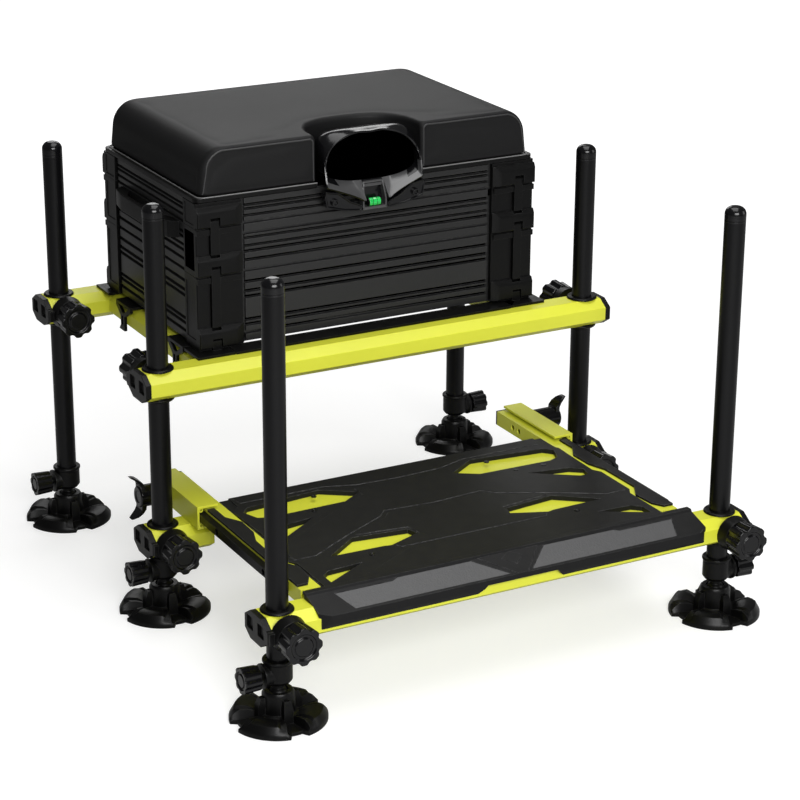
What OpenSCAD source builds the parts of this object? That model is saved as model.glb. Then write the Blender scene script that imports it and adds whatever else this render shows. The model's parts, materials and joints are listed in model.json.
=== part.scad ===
// Fishing seat box: a seat frame on four clamped legs carries three stacked trays and a padded lid,
// and a footplate with two legs of its own slides in a carrier that is clamped to the middle legs.
// Millimetres, +Z up. The front, with the footplate, faces -Y, and left is -X.
// The origin is on the ground, in the middle of the whole object.

/* [Legs] */
// Outer diameter of a leg tube
leg_d = 25; // [22:0.5:28]
// Wall of a leg tube
leg_wall = 2; // [1.5:0.1:3]
// Height of the leg tops above the ground
leg_top = 507; // [470:1:600]
// Distance from the box's side to a leg's axis
leg_clear = 62.4; // [60:0.2:80]
// Distance from the front leg row to the middle leg row
front_to_middle = 314.6; // [300:0.2:380]
// Distance from the middle leg row to the back leg row
middle_to_back = 319.5; // [316:0.5:360]

/* [Feet] */
// Diameter of a foot pad
foot_d = 110; // [100:1:124]
// Height of a foot pad's rim
foot_rim_h = 7; // [5:0.5:9]
// Height of a foot pad's lobes beside the socket
foot_lobe_h = 17.5; // [16:0.5:21]
// Diameter of the ball under a leg
ball_d = 24; // [20:0.5:26]
// Height of the ball's centre above the ground
ball_z = 28; // [26:0.5:32]
// Height of a foot fitting above the ball's centre
fitting_h = 45.6; // [44:0.2:46]
// Outer diameter of a foot fitting
fitting_d = 32.6; // [31:0.2:36]
// Diameter of a foot knob
foot_knob_d = 31; // [26:0.5:34]
// Length of a foot knob's head
foot_knob_l = 21; // [18:0.5:26]

/* [Rails] */
// Height of the seat rails' top
seat_rail_top = 307.7; // [290:0.1:330]
// Height of the footplate front rail's top
foot_rail_top = 131; // [126:0.1:136]
// Distance of the carrier brackets' top below the footplate front rail's top
carrier_drop = 19.9; // [19.5:0.1:20.5]
// Length of a cross rail beyond a leg's axis
rail_over = 19.6; // [19:0.1:26]
// Width of a cross rail
rail_w = 54; // [50:0.5:58]
// Height of a cross rail
rail_h = 34; // [32:0.2:36]
// Width of a cross rail's flat top
rail_flat = 26; // [20:0.5:32]
// Height of a cross rail's bevels
rail_bevel = 9; // [7:0.5:11]
// Wall of the rails
rail_wall = 3; // [2:0.1:4]
// Width of a seat side rail
side_rail_w = 44; // [38:0.5:48]

/* [Clamps] */
// Diameter of a clamp knob
knob_d = 44; // [38:0.5:48]
// Length of a clamp knob's head
knob_l = 24; // [20:0.5:28]
// Distance of a clamp knob's face from the leg axis
knob_reach = 67; // [64:0.5:72]
// Number of lobes on a knob
knob_lobes = 8; // [6:1:10]
// Diameter of a clamp boss
clamp_boss_d = 43; // [36:0.5:44]
// Thickness of a rail's end cap beyond the rail
end_cap_t = 7; // [5:0.5:9]
// Diameter of the collar round a leg
collar_d = 38; // [36:0.5:42]
// Thickness of the collar round a leg
collar_t = 3; // [2:0.1:3.2]
// Height of a wing knob's wings
wing_h = 54; // [44:1:60]

/* [Box] */
// Width of the box
box_w = 458; // [440:1:470]
// Depth of the box
box_depth = 282; // [278:0.5:292]
// Distance from the middle leg row back to the box's front
box_set_back = 23.4; // [20:0.2:26]
// Height of the deep tray
deep_h = 89; // [82:0.5:120]
// Height of the middle tray
middle_h = 59; // [56:0.5:80]
// Height of the top tray
top_h = 30.6; // [29:0.2:50]
// Wall of the trays
tray_wall = 3; // [2:0.1:4]
// Width of a corner casting on the front
corner_w = 59; // [56:0.5:64]
// Width of a corner casting on the side
corner_side_w = 36; // [30:0.5:44]
// Thickness of a corner casting
corner_t = 6; // [5.6:0.1:7]
// How far a catch block stands out
block_t = 6; // [5.6:0.1:7]
// Width of a latch bolt
bolt_w = 11.5; // [10:0.1:13]
// Thickness of a latch bolt
bolt_t = 5; // [4:0.1:5.2]
// Stroke of a latch bolt
bolt_stroke = 9.5; // [9:0.1:10]

/* [Seat] */
// Thickness of the lid board
lid_t = 5; // [4:0.2:7]
// Height of the cushion over the lid board
cushion_h = 59; // [45:0.5:70]
// Rounding of the cushion's upper left and right edges
cushion_end_r = 27; // [18:0.5:32]
// Rounding of the cushion's upper front and back edges
cushion_edge_r = 6; // [4:0.5:12]
// Rounding of the cushion's upright corners
cushion_corner_r = 9; // [7:0.5:20]
// Width of the cut-out in the front of the cushion
cutout_w = 140; // [130:1:170]
// Depth of the cut-out in the front of the cushion
cutout_depth = 76; // [66:1:90]
// Gap between the pole rest's mouth and the cut-out's sides
mouth_gap = 4.6; // [4:0.2:12]
// Depth of the pole rest
rest_depth = 76; // [66:1:86]

/* [Footplate] */
// Width of a trim beside the deck
trim_w = 19.5; // [18.5:0.1:24]
// Length of the deck
deck_l = 287; // [270:1:290]
// Height of the deck's top above the front rail
deck_rise = 5.5; // [5.2:0.1:5.8]
// Thickness of the deck's top plate
deck_t = 3; // [2:0.1:3.2]
// Distance from a leg's axis to the outer face of a footplate side rail
slide_clear = 41.9; // [41:0.1:44]
// Width of a footplate side rail
slide_w = 24.2; // [20:0.2:26]
// Length of a footplate side rail behind the front rail
slide_l = 380; // [370:1:400]
// Length of a carrier channel
channel_l = 127; // [110:1:150]
// Height of a carrier channel
channel_h = 29; // [28.9:0.1:30]
// Wall of a carrier channel
channel_wall = 3; // [2.6:0.1:3]
// Reach of the toe bar beyond the side rails
toe_over = 4.5; // [2:0.1:8]
// Reach of the toe bar's nose in front of the front rail's axis
toe_reach = 33; // [31:0.5:38]

/* [Hidden] */

// Small values that all pieces share
$fn = 48;
cut_over = 1;
fit = 0.05;
seat_gap = 0.3;
edge_bevel = 1;
side_names = ["left", "right"];
sides = [-1, 1];
row_names = ["front", "middle", "back"];

// Colours
lime = [0.86, 0.86, 0.27];
coat_black = [0.09, 0.09, 0.09];
moulded_black = [0.13, 0.13, 0.13];
gloss_black = [0.05, 0.05, 0.05];
cushion_grey = [0.24, 0.24, 0.24];
vial_green = [0.1, 0.75, 0.3];

// Widths and heights that follow from the sizes above
leg_track = box_w + 2 * leg_clear;
rail_l = leg_track + 2 * rail_over;
slide_span = leg_track - 2 * slide_clear;
deck_w = slide_span - 2 * trim_w;
toe_w = slide_span + 2 * toe_over;
mouth_w = cutout_w - 2 * mouth_gap;
carrier_top = foot_rail_top - carrier_drop;
deck_top = foot_rail_top + deck_rise;

// Leg rows, with the whole object centred over the origin
leg_x = leg_track / 2;
foot_r = foot_d / 2;
foot_notch_w = 12;
foot_reach = sqrt(foot_r * foot_r - foot_notch_w * foot_notch_w / 4);
front_y = -(front_to_middle + middle_to_back + foot_reach - knob_reach) / 2;
middle_y = front_y + front_to_middle;
back_y = middle_y + middle_to_back;
row_y = [front_y, middle_y, back_y];

// Foot pad and its ball joint
ball_r = ball_d / 2;
ball_play = 0.08;
socket_wall = 7;
socket_top = ball_z + ball_r * 0.66;
socket_grip = ball_r * 0.42;
post_w = 11;
post_reach = 5;
neck_d = 13;
web_h = 5;
foot_notch_l = 17;
foot_groove_w = 8.5;
foot_groove_rim_w = 15;

// Foot fitting
fitting_r = fitting_d / 2;
fitting_top = ball_z + fitting_h;
neck_gap = 4.5;
fitting_floor = ball_z + ball_r + neck_gap;
fitting_rim_t = 3.4;
fitting_rim_out = 1.2;
fitting_rim_r = fitting_r + fitting_rim_out;
fitting_floor_t = 7.5;
fitting_seat = fitting_floor + fitting_floor_t;
foot_knob_rise = 10.5;
foot_knob_z = fitting_floor + foot_knob_rise;
foot_boss_d = 26;
foot_ring_d = 29;
foot_ring_t = 3;
foot_boss_out = 4;
foot_knob_gap = 4;
foot_boss_l = fitting_r + foot_boss_out;
foot_knob_start = foot_boss_l + foot_knob_gap;
foot_stem_d = 8;

// Leg caps
cap_h = 13;
cap_flat_d = 8;
cap_plug_l = 16;

// Clamps
collar_sleeve_wall = 2.6;
sleeve_r = leg_d / 2 + collar_sleeve_wall;
knob_start = knob_reach - knob_l;
knob_gap = 1;
clamp_boss_end = knob_start - knob_gap;
stem_d = 8;
stem_clear = 0.7;
cheek_t = 4;
cap_window = 5;
cap_recess = 3;
disc_d = 20;
knob_waist = 0.8;

// Box levels, from the rails up
strip_t = 3.3;
pad_t = 2;
parting = 0.2;
box_y0 = middle_y + box_set_back;
box_y1 = box_y0 + box_depth;
box_yc = (box_y0 + box_y1) / 2;
box_hw = box_w / 2;
deep_z = seat_rail_top + strip_t + pad_t;
middle_z = deep_z + deep_h;
top_z = middle_z + middle_h;
lid_z = top_z + top_h;
lid_gap = 0.4;
cushion_z = lid_z + lid_gap + lid_t;

// Catch blocks and latch bolts
block_w = 48;
block_h = 19.5;
block_bevel_w = corner_w - block_w;
block_bevel_h = 7;
block_lift = 1.5;
ledge_h = 8;
ledge_t = 3;
ledge_lift = 1;
bolt_inset = 23;
bolt_x = box_hw - bolt_inset;
bolt_clear = 0.4;
bolt_sink = 1;
bolt_grip = bolt_t / 2;
bolt_spare = 0.1;
slot_spare = 3;
key_out = 5;
bolt_rise = bolt_stroke + bolt_spare;
slot_h = bolt_rise + slot_spare;
key_w = bolt_w + key_out;
key_t = 2.2;
key_web = 0.6;
bolt_out = bolt_t - bolt_sink;

// Hinges at the rear: the round heads of the rear bolts, and the lid's pins
hinge_out = bolt_t / 2 - bolt_sink;
hinge_rise = bolt_rise - bolt_grip;
lid_pin_d = 4;
lid_barrel_d = 9;
lid_hinge_gap = 0.8;
lid_hinge_y = box_y1 + lid_barrel_d / 2 + lid_hinge_gap;
lid_hinge_z = lid_z;
lid_barrel_l = 20;
lid_hinge_x = (box_hw - corner_w) * 0.7;
lid_barrel_gap = 0.3;

// Ribbed walls, as shares of the tray's height from its bottom
top_band_shares = [[0.03, 0.24], [0.3, 0.5], [0.56, 0.66], [0.72, 0.99]];
middle_band_shares = [[0.02, 0.2], [0.24, 0.38], [0.42, 0.5], [0.53, 0.66], [0.69, 0.76], [0.8, 0.98]];
deep_band_shares = [
    [0.01, 0.12], [0.15, 0.23], [0.26, 0.3], [0.33, 0.62], [0.65, 0.7], [0.73, 0.83], [0.86, 0.99],
];
band_t = 3.6;
band_bevel = 0.9;
band_gap = 4.5;

// Derived tub faces
tub_hw = box_hw - corner_t;
tub_y0 = box_y0 + corner_t;
tub_y1 = box_y1 - corner_t;

// Seat side rails
side_rail_inset = 17;
side_rail_x = box_hw - side_rail_inset;
side_rail_y0 = middle_y + rail_w / 2;
side_rail_y1 = back_y - rail_w / 2;

// Carrier channels and the slides in them
channel_in = 15;
channel_out = 12;
channel_front = 35.6;
channel_x0 = slide_span / 2 - channel_in;
channel_x1 = slide_span / 2 + channel_out;
channel_y0 = middle_y - channel_front;
channel_port_d = 5.6;
channel_port_hole_d = 3;
slide_x1 = slide_span / 2;
slide_x0 = slide_x1 - slide_w;
slide_z0 = carrier_top + channel_wall + seat_gap;
slide_gap = 0.1;
slide_z1 = deck_top - deck_t - slide_gap;
slide_y0 = front_y + rail_w / 2;
slide_y1 = slide_y0 + slide_l;
slide_wall = 2;
track_h = 11;
track_rise = 1.7;
track_z = (slide_z0 + slide_z1) / 2 + track_rise;
track_x1 = channel_x1 - channel_wall - seat_gap;
track_short = 30;
wing_back = 60.4;
track_l = slide_l - track_short;
wing_y = middle_y + wing_back;
wing_boss_d = 27;
wing_boss_l = 38;
wing_stem_d = 8;
wing_t = 11;
wing_w = 20;
bracket_inset = 1.5;
bracket_x0 = channel_x0 + bracket_inset;
plug_t = 3;
slide_hole_d = 7;
slide_hole_shares = [0.855, 0.895];
track_hole_shares = [0.5, 0.86];

// Footplate levels
sheet_t = 2;
toe_back = 10;
under_t = 4;
deck_gap = 0.5;
sheet_z = deck_top - deck_t - under_t - sheet_t;
deck_y0 = front_y + toe_back + deck_gap;
deck_y1 = deck_y0 + deck_l;
under_gap = 7;
under_y0 = front_y + rail_flat / 2 + under_gap;

// Rail section with its top at zero: width, height, flat and bevel
function rail_points(w, h, flat, bevel) = [
    [-flat / 2, 0], [flat / 2, 0], [w / 2, -bevel], [w / 2, bevel - h],
    [flat / 2, -h], [-flat / 2, -h], [-w / 2, bevel - h], [-w / 2, -bevel],
];
function bevel_angle(w, flat, bevel) = atan2(bevel, (w - flat) / 2);
function inner_flat(w, flat, bevel, t) = flat - 2 * t * tan(bevel_angle(w, flat, bevel) / 2);
function inner_bevel(w, flat, bevel, t) = bevel - t + t * tan((90 - bevel_angle(w, flat, bevel)) / 2);

module rail_shape(w, h, flat, bevel, t) {
    difference() {
        polygon(rail_points(w, h, flat, bevel));
        translate([0, -t]) polygon(rail_points(w - 2 * t, h - 2 * t,
            inner_flat(w, flat, bevel, t), inner_bevel(w, flat, bevel, t)));
    }
}

// Extrudes a shape drawn as (y, z) along X, centred
module along_x(length) {
    rotate([90, 0, 90]) linear_extrude(height = length, center = true) children();
}

// Extrudes a shape drawn as (x, z) along +Y
module along_y(length) {
    translate([0, length, 0]) rotate([90, 0, 0]) linear_extrude(height = length) children();
}

// A rod along Y from y0 to y1
module rod_y(d, y0, y1) {
    translate([0, y0, 0]) rotate([-90, 0, 0]) cylinder(d = d, h = y1 - y0);
}

// A rod along X from x0 to x1
module rod_x(d, x0, x1) {
    translate([x0, 0, 0]) rotate([0, 90, 0]) cylinder(d = d, h = x1 - x0);
}

// A box from its low corner to its high corner
module block(low, high) {
    translate(low) cube(high - low);
}

module mirrored_x() {
    children();
    mirror([1, 0, 0]) children();
}

module mirrored_about_y(y) {
    children();
    translate([0, 2 * y, 0]) mirror([0, 1, 0]) children();
}

// A closed solid through rings of an even number of points, each ring as long as the others.
// Its ends are zipped shut between the two halves of a ring, so the rings may be U-shaped.
function zip_faces(n) = [for (i = [0 : n / 2 - 1]) let (c = n - i - 1, d = (n - i) % n)
    each [if (i + 1 != c) [i, i + 1, c], if (i != d) [i, c, d]]];
function flipped(faces, shift) = [for (f = faces) [f[2] + shift, f[1] + shift, f[0] + shift]];
module loft(rings) {
    n = len(rings[0]);
    m = len(rings);
    polyhedron([for (ring = rings) each ring], [
        each zip_faces(n),
        for (j = [0 : m - 2]) for (i = [0 : n - 1])
            let (a = j * n + i, b = j * n + (i + 1) % n) each [[a, a + n, b], [b, a + n, b + n]],
        each flipped(zip_faces(n), (m - 1) * n),
    ]);
}

// Leg tube with its domed cap, from the fitting's seat up
module leg_tube(x, y) {
    r = leg_d / 2;
    color(coat_black) translate([x, y, 0]) {
        difference() {
            translate([0, 0, fitting_seat]) cylinder(r = r, h = leg_top - cap_h - fitting_seat);
            translate([0, 0, fitting_seat - cut_over])
                cylinder(r = r - leg_wall, h = leg_top - fitting_seat + cut_over);
        }
        translate([0, 0, leg_top - cap_h]) rotate_extrude() {
            intersection() {
                union() {
                    square([r, cap_h - r]);
                    translate([0, cap_h - r]) circle(r = r);
                }
                square([r, cap_h]);
            }
            translate([0, -cap_plug_l]) square([r - leg_wall - fit, cap_plug_l]);
        }
    }
}

// Lobed knob head along +Z from zero, with a bevelled face and a raised disc
module knob_head(d, length, stem, stem_l) {
    lobe_d = d * 0.27;
    face_t = length * 0.2;
    difference() {
        intersection() {
            linear_extrude(height = length) {
                circle(d = d * 0.84);
                for (i = [0 : knob_lobes - 1]) rotate(i * 360 / knob_lobes)
                    translate([(d - lobe_d) / 2, 0]) circle(d = lobe_d);
            }
            rotate_extrude() polygon([
                [0, 0], [d * 0.4, 0], [d / 2, length * 0.16], [d / 2, length - face_t],
                [d * 0.38, length], [0, length],
            ]);
        }
        translate([0, 0, length - face_t / 2]) difference() {
            cylinder(d = d * 0.58, h = length);
            cylinder(d = d * 0.46, h = length);
        }
    }
    translate([0, 0, -stem_l]) cylinder(d = stem, h = stem_l + cut_over);
}

// Ball, neck, clamp body and side boss under a leg; side is the way the boss points
module foot_fitting(x, y, side) {
    color(moulded_black) translate([x, y, 0]) difference() {
        union() {
            translate([0, 0, ball_z]) sphere(r = ball_r);
            translate([0, 0, ball_z]) cylinder(d = neck_d, h = fitting_floor - ball_z + cut_over);
            rotate_extrude() polygon([
                [0, fitting_floor], [fitting_r * 0.8, fitting_floor],
                [fitting_r, fitting_floor + fitting_r * 0.25],
                [fitting_r, fitting_top - fitting_rim_t - edge_bevel],
                [fitting_rim_r, fitting_top - fitting_rim_t],
                [fitting_rim_r, fitting_top - edge_bevel],
                [fitting_rim_r - edge_bevel, fitting_top], [0, fitting_top],
            ]);
            translate([0, 0, foot_knob_z]) mirror([side < 0 ? 1 : 0, 0, 0]) {
                rod_x(foot_boss_d, 0, foot_boss_l - foot_ring_t);
                rod_x(foot_ring_d, foot_boss_l - foot_ring_t, foot_boss_l);
            }
        }
        translate([0, 0, fitting_seat]) cylinder(r = leg_d / 2 + fit, h = fitting_top);
        translate([0, 0, foot_knob_z]) mirror([side < 0 ? 1 : 0, 0, 0])
            rod_x(foot_stem_d + 2 * fit, fitting_r * 0.5, foot_boss_l + cut_over);
    }
}

// Small lobed knob on the side boss
module foot_knob(x, y, side) {
    color(gloss_black) translate([x, y, foot_knob_z]) mirror([side < 0 ? 1 : 0, 0, 0])
        translate([foot_knob_start, 0, 0]) rotate([0, 90, 0])
            knob_head(foot_knob_d, foot_knob_l, foot_stem_d,
                foot_knob_start - leg_d / 2 - stem_clear);
}

// Outline of a foot pad's revolved body: rim, lobe and hub
function foot_profile() = [
    [0, 0], [foot_r - edge_bevel, 0], [foot_r, edge_bevel * 2],
    [foot_r - edge_bevel * 0.5, foot_rim_h],
    [foot_r * 0.86, foot_rim_h + (foot_lobe_h - foot_rim_h) * 0.45],
    [foot_r * 0.66, foot_rim_h + (foot_lobe_h - foot_rim_h) * 0.85],
    [foot_r * 0.5, foot_lobe_h], [ball_r + socket_wall, foot_lobe_h],
    [ball_r + socket_wall - edge_bevel, socket_top - edge_bevel],
    [ball_r + socket_wall - edge_bevel * 3, socket_top], [0, socket_top],
];

// Round pad of four domed lobes round a ball socket with clip posts
module foot_pad(x, y) {
    hub_r = ball_r + socket_wall;
    color(moulded_black) translate([x, y, 0]) difference() {
        union() {
            difference() {
                rotate_extrude() polygon(foot_profile());
                for (i = [0 : 3]) rotate(i * 90) {
                    block([foot_r - foot_notch_l, -foot_notch_w / 2, -cut_over],
                        [foot_r + cut_over, foot_notch_w / 2, foot_lobe_h + cut_over]);
                    translate([0, 0, web_h]) linear_extrude(height = foot_lobe_h) polygon([
                        [hub_r, -foot_groove_w], [foot_r + cut_over, -foot_groove_rim_w],
                        [foot_r + cut_over, foot_groove_rim_w], [hub_r, foot_groove_w],
                    ]);
                }
            }
            for (i = [0 : 3]) rotate(i * 90) translate([0, post_w / 2, 0]) rotate([90, 0, 0])
                linear_extrude(height = post_w) polygon([
                    [ball_r + edge_bevel, web_h], [hub_r + post_reach * 2, web_h],
                    [hub_r + post_reach, socket_top - socket_wall],
                    [hub_r + edge_bevel, socket_top - edge_bevel],
                    [hub_r - edge_bevel * 3, socket_top - edge_bevel], [ball_r + edge_bevel, ball_z],
                ]);
        }
        translate([0, 0, ball_z]) sphere(r = ball_r + ball_play);
        translate([0, 0, ball_z + socket_grip])
            cylinder(r1 = ball_r * 0.92, r2 = ball_r * 0.92 + ball_r, h = ball_r);
    }
}

// Lobed clamp knob; its axis is along Y, and facing is the way its face points
module clamp_knob(x, y, top, facing) {
    color(gloss_black) translate([x, y, top - rail_h / 2]) mirror([0, facing < 0 ? 1 : 0, 0])
        translate([0, knob_start, 0]) rotate([-90, 0, 0])
            knob_head(knob_d, knob_l, stem_d, knob_start - leg_d / 2 - stem_clear);
}

// Bush with flanges round a leg, through a rail whose top is at this height
module leg_bush(x, y, top, facing) {
    color(coat_black) translate([x, y, top]) difference() {
        rotate_extrude() polygon([
            [leg_d / 2 + fit, collar_t], [collar_d / 2 - collar_t / 2, collar_t],
            [collar_d / 2, collar_t / 2], [collar_d / 2, 0], [sleeve_r, 0],
            [sleeve_r, -rail_h], [collar_d / 2, -rail_h], [collar_d / 2, -rail_h - collar_t / 2],
            [collar_d / 2 - collar_t / 2, -rail_h - collar_t], [leg_d / 2 + fit, -rail_h - collar_t],
        ]);
        translate([0, 0, -rail_h / 2]) mirror([0, facing < 0 ? 1 : 0, 0])
            rod_y(stem_d + 2 * stem_clear, 0, sleeve_r + cut_over);
    }
}

// End cap, cheek and knob boss on a rail's end; side is the end, facing the knob's way
module clamp_housing(y, top, side, facing) {
    cap_low = -rail_h + rail_bevel;
    color(moulded_black) translate([0, y, top]) mirror([side < 0 ? 1 : 0, 0, 0])
        mirror([0, facing < 0 ? 1 : 0, 0]) difference() {
            union() {
                translate([rail_l / 2 + end_cap_t / 2, 0, 0]) along_x(end_cap_t)
                    polygon(rail_points(rail_w, rail_h, rail_flat, rail_bevel));
                block([leg_x - collar_d / 2, rail_w / 2, cap_low],
                    [rail_l / 2 + end_cap_t, rail_w / 2 + cheek_t, -rail_bevel]);
                block([leg_x, rail_w / 2, cap_low + edge_bevel],
                    [rail_l / 2 + end_cap_t - edge_bevel, rail_w / 2 + cheek_t * 2, -rail_bevel - edge_bevel]);
                translate([leg_x, rail_w / 2, -rail_h / 2]) rotate([-90, 0, 0])
                    cylinder(d1 = clamp_boss_d, d2 = clamp_boss_d * 0.9, h = clamp_boss_end - rail_w / 2);
            }
            for (s = sides) block(
                [rail_l / 2 + end_cap_t - cap_recess, s * rail_w / 4 - cap_window * 1.5, cap_low + cap_window / 2],
                [rail_l / 2 + end_cap_t + cut_over, s * rail_w / 4 + cap_window * 1.5, -rail_bevel + cap_window / 4]);
            translate([leg_x, 0, -rail_h / 2])
                rod_y(stem_d + 2 * fit, rail_w / 2 - cut_over, clamp_boss_end + cut_over);
        }
}

// Bores for a leg's bush and its clamp's stem in a rail
module rail_bores(top, facing) {
    mirrored_x() translate([leg_x, 0, top]) {
        translate([0, 0, -rail_h - cut_over]) cylinder(r = sleeve_r, h = rail_h + 2 * cut_over);
        translate([0, 0, -rail_h / 2]) mirror([0, facing < 0 ? 1 : 0, 0])
            rod_y(stem_d + 2 * stem_clear, 0, rail_w / 2 + cut_over);
    }
}

// A whole cross rail between a left and a right leg
module cross_rail(y, top, facing) {
    color(lime) translate([0, y, 0]) difference() {
        translate([0, 0, top]) along_x(rail_l) rail_shape(rail_w, rail_h, rail_flat, rail_bevel, rail_wall);
        rail_bores(top, facing);
    }
}

module seat_frame_rails() {
    cross_rail(middle_y, seat_rail_top, 1);
    cross_rail(back_y, seat_rail_top, -1);
}

module seat_side_rails() {
    color(lime) mirrored_x() translate([side_rail_x, side_rail_y0, seat_rail_top])
        along_y(side_rail_y1 - side_rail_y0)
            rail_shape(side_rail_w, rail_h - edge_bevel, rail_flat * side_rail_w / rail_w,
                rail_bevel, rail_wall);
}

module frame_plastics() {
    for (side = sides) {
        leg_bush(side * leg_x, middle_y, seat_rail_top, 1);
        clamp_housing(middle_y, seat_rail_top, side, 1);
        leg_bush(side * leg_x, back_y, seat_rail_top, -1);
        clamp_housing(back_y, seat_rail_top, side, -1);
    }
}

// Hook that hangs on a side rail, drawn as (y, z) from the rail's top
module side_hook(y) {
    w = 46;
    drop = rail_h - edge_bevel;
    translate([side_rail_x + side_rail_w / 2, y, seat_rail_top]) {
        translate([hook_t / 2, 0, 0]) along_x(hook_t) difference() {
            polygon([
                [-w / 2, strip_t], [w / 2, strip_t], [w / 2, -rail_bevel * 0.4],
                [w * 0.2, -rail_bevel * 1.6], [w * 0.2, -drop * 0.8], [w * 0.32, -drop],
                [-w * 0.06, -drop], [-w * 0.06, -rail_bevel * 1.6], [-w / 2, -rail_bevel * 0.4],
            ]);
            polygon([
                [-w * 0.34, -strip_t * 0.2], [w * 0.34, -strip_t * 0.2], [w * 0.08, -rail_bevel],
                [-w * 0.06, -rail_bevel],
            ]);
            polygon([
                [w * 0.02, -drop * 0.42], [w * 0.12, -drop * 0.42], [w * 0.12, -drop * 0.78],
                [w * 0.02, -drop * 0.78],
            ]);
        }
        block([-side_rail_w / 2, -w / 2, 0], [0, w / 2, strip_t]);
    }
}
hook_t = 4;
hook_shares = [0.16, 0.74];

// Strips and corner plates between the rails and the box, with the lugs that the box hooks over
module base_brackets() {
    plate_in = 39;
    plate_out = 9;
    plate_front = 20;
    plate_back = 22;
    strip_back = 7;
    plate_x0 = box_hw - plate_in;
    plate_x1 = box_hw + plate_out;
    plate_y0 = box_y0 - plate_front;
    plate_y1 = box_y0 + plate_back;
    color(coat_black) {
        mirrored_about_y(box_yc) {
            block([-plate_x0 + edge_bevel, plate_y0 - edge_bevel, seat_rail_top],
                [plate_x0 - edge_bevel, box_y0 + strip_back, seat_rail_top + strip_t]);
            mirrored_x() {
                block([plate_x0, plate_y0, seat_rail_top], [plate_x1, plate_y1, seat_rail_top + strip_t]);
                block([plate_x0 + edge_bevel, box_y0 + edge_bevel, seat_rail_top],
                    [box_hw - edge_bevel, plate_y1, deep_z]);
                block([bolt_x - bolt_w / 2, box_y0 - bolt_t + bolt_sink, seat_rail_top],
                    [bolt_x + bolt_w / 2, box_y0 + bolt_sink, deep_z + bolt_rise]);
            }
        }
        mirrored_x() for (s = hook_shares) side_hook(box_y0 + s * box_depth + hook_t);
    }
}

// One horizontal rib as (out, z): outwards is positive
function band_points(low, high) = [
    [-edge_bevel, low], [0, low], [band_t, low + band_bevel], [band_t, high - band_bevel],
    [0, high], [-edge_bevel, high],
];

// Tray tub with a floor and ribbed outer walls
module tray_walls(z, h, bands) {
    color(coat_black) {
        difference() {
            block([-tub_hw, tub_y0, z], [tub_hw, tub_y1, z + h - parting]);
            block([-tub_hw + tray_wall, tub_y0 + tray_wall, z + tray_wall],
                [tub_hw - tray_wall, tub_y1 - tray_wall, z + h + cut_over]);
        }
        for (band = bands) {
            low = z + band[0] * h;
            high = min(z + band[1] * h, z + h - parting);
            mirrored_about_y(box_yc) translate([0, tub_y0, 0]) mirror([0, 1, 0])
                along_x(2 * (box_hw - corner_w - band_gap)) polygon(band_points(low, high));
            mirrored_x() translate([tub_hw, box_y0 + corner_side_w + band_gap, 0])
                along_y(box_depth - 2 * (corner_side_w + band_gap)) polygon(band_points(low, high));
        }
    }
}

// Block that catches the bolt below it, as a bevelled box over the front face of the casting
module catch_block(z) {
    low = z + block_lift;
    high = z + block_h;
    intersection() {
        translate([0, 0, z]) linear_extrude(height = block_h + block_bevel_h) polygon([
            [box_hw, box_y0 + edge_bevel], [box_hw - corner_w, box_y0 + edge_bevel],
            [box_hw - corner_w, box_y0 - block_t * 0.25],
            [box_hw - block_w, box_y0 - block_t], [box_hw - edge_bevel, box_y0 - block_t],
            [box_hw, box_y0 - block_t + edge_bevel],
        ]);
        translate([box_hw - corner_w / 2, box_y0, 0]) along_x(corner_w + cut_over) polygon([
            [edge_bevel, low], [-block_t + edge_bevel, low], [-block_t, low + edge_bevel],
            [-block_t, high], [-block_t * 0.4, high + block_bevel_h], [edge_bevel, high + block_bevel_h],
        ]);
    }
}

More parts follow.
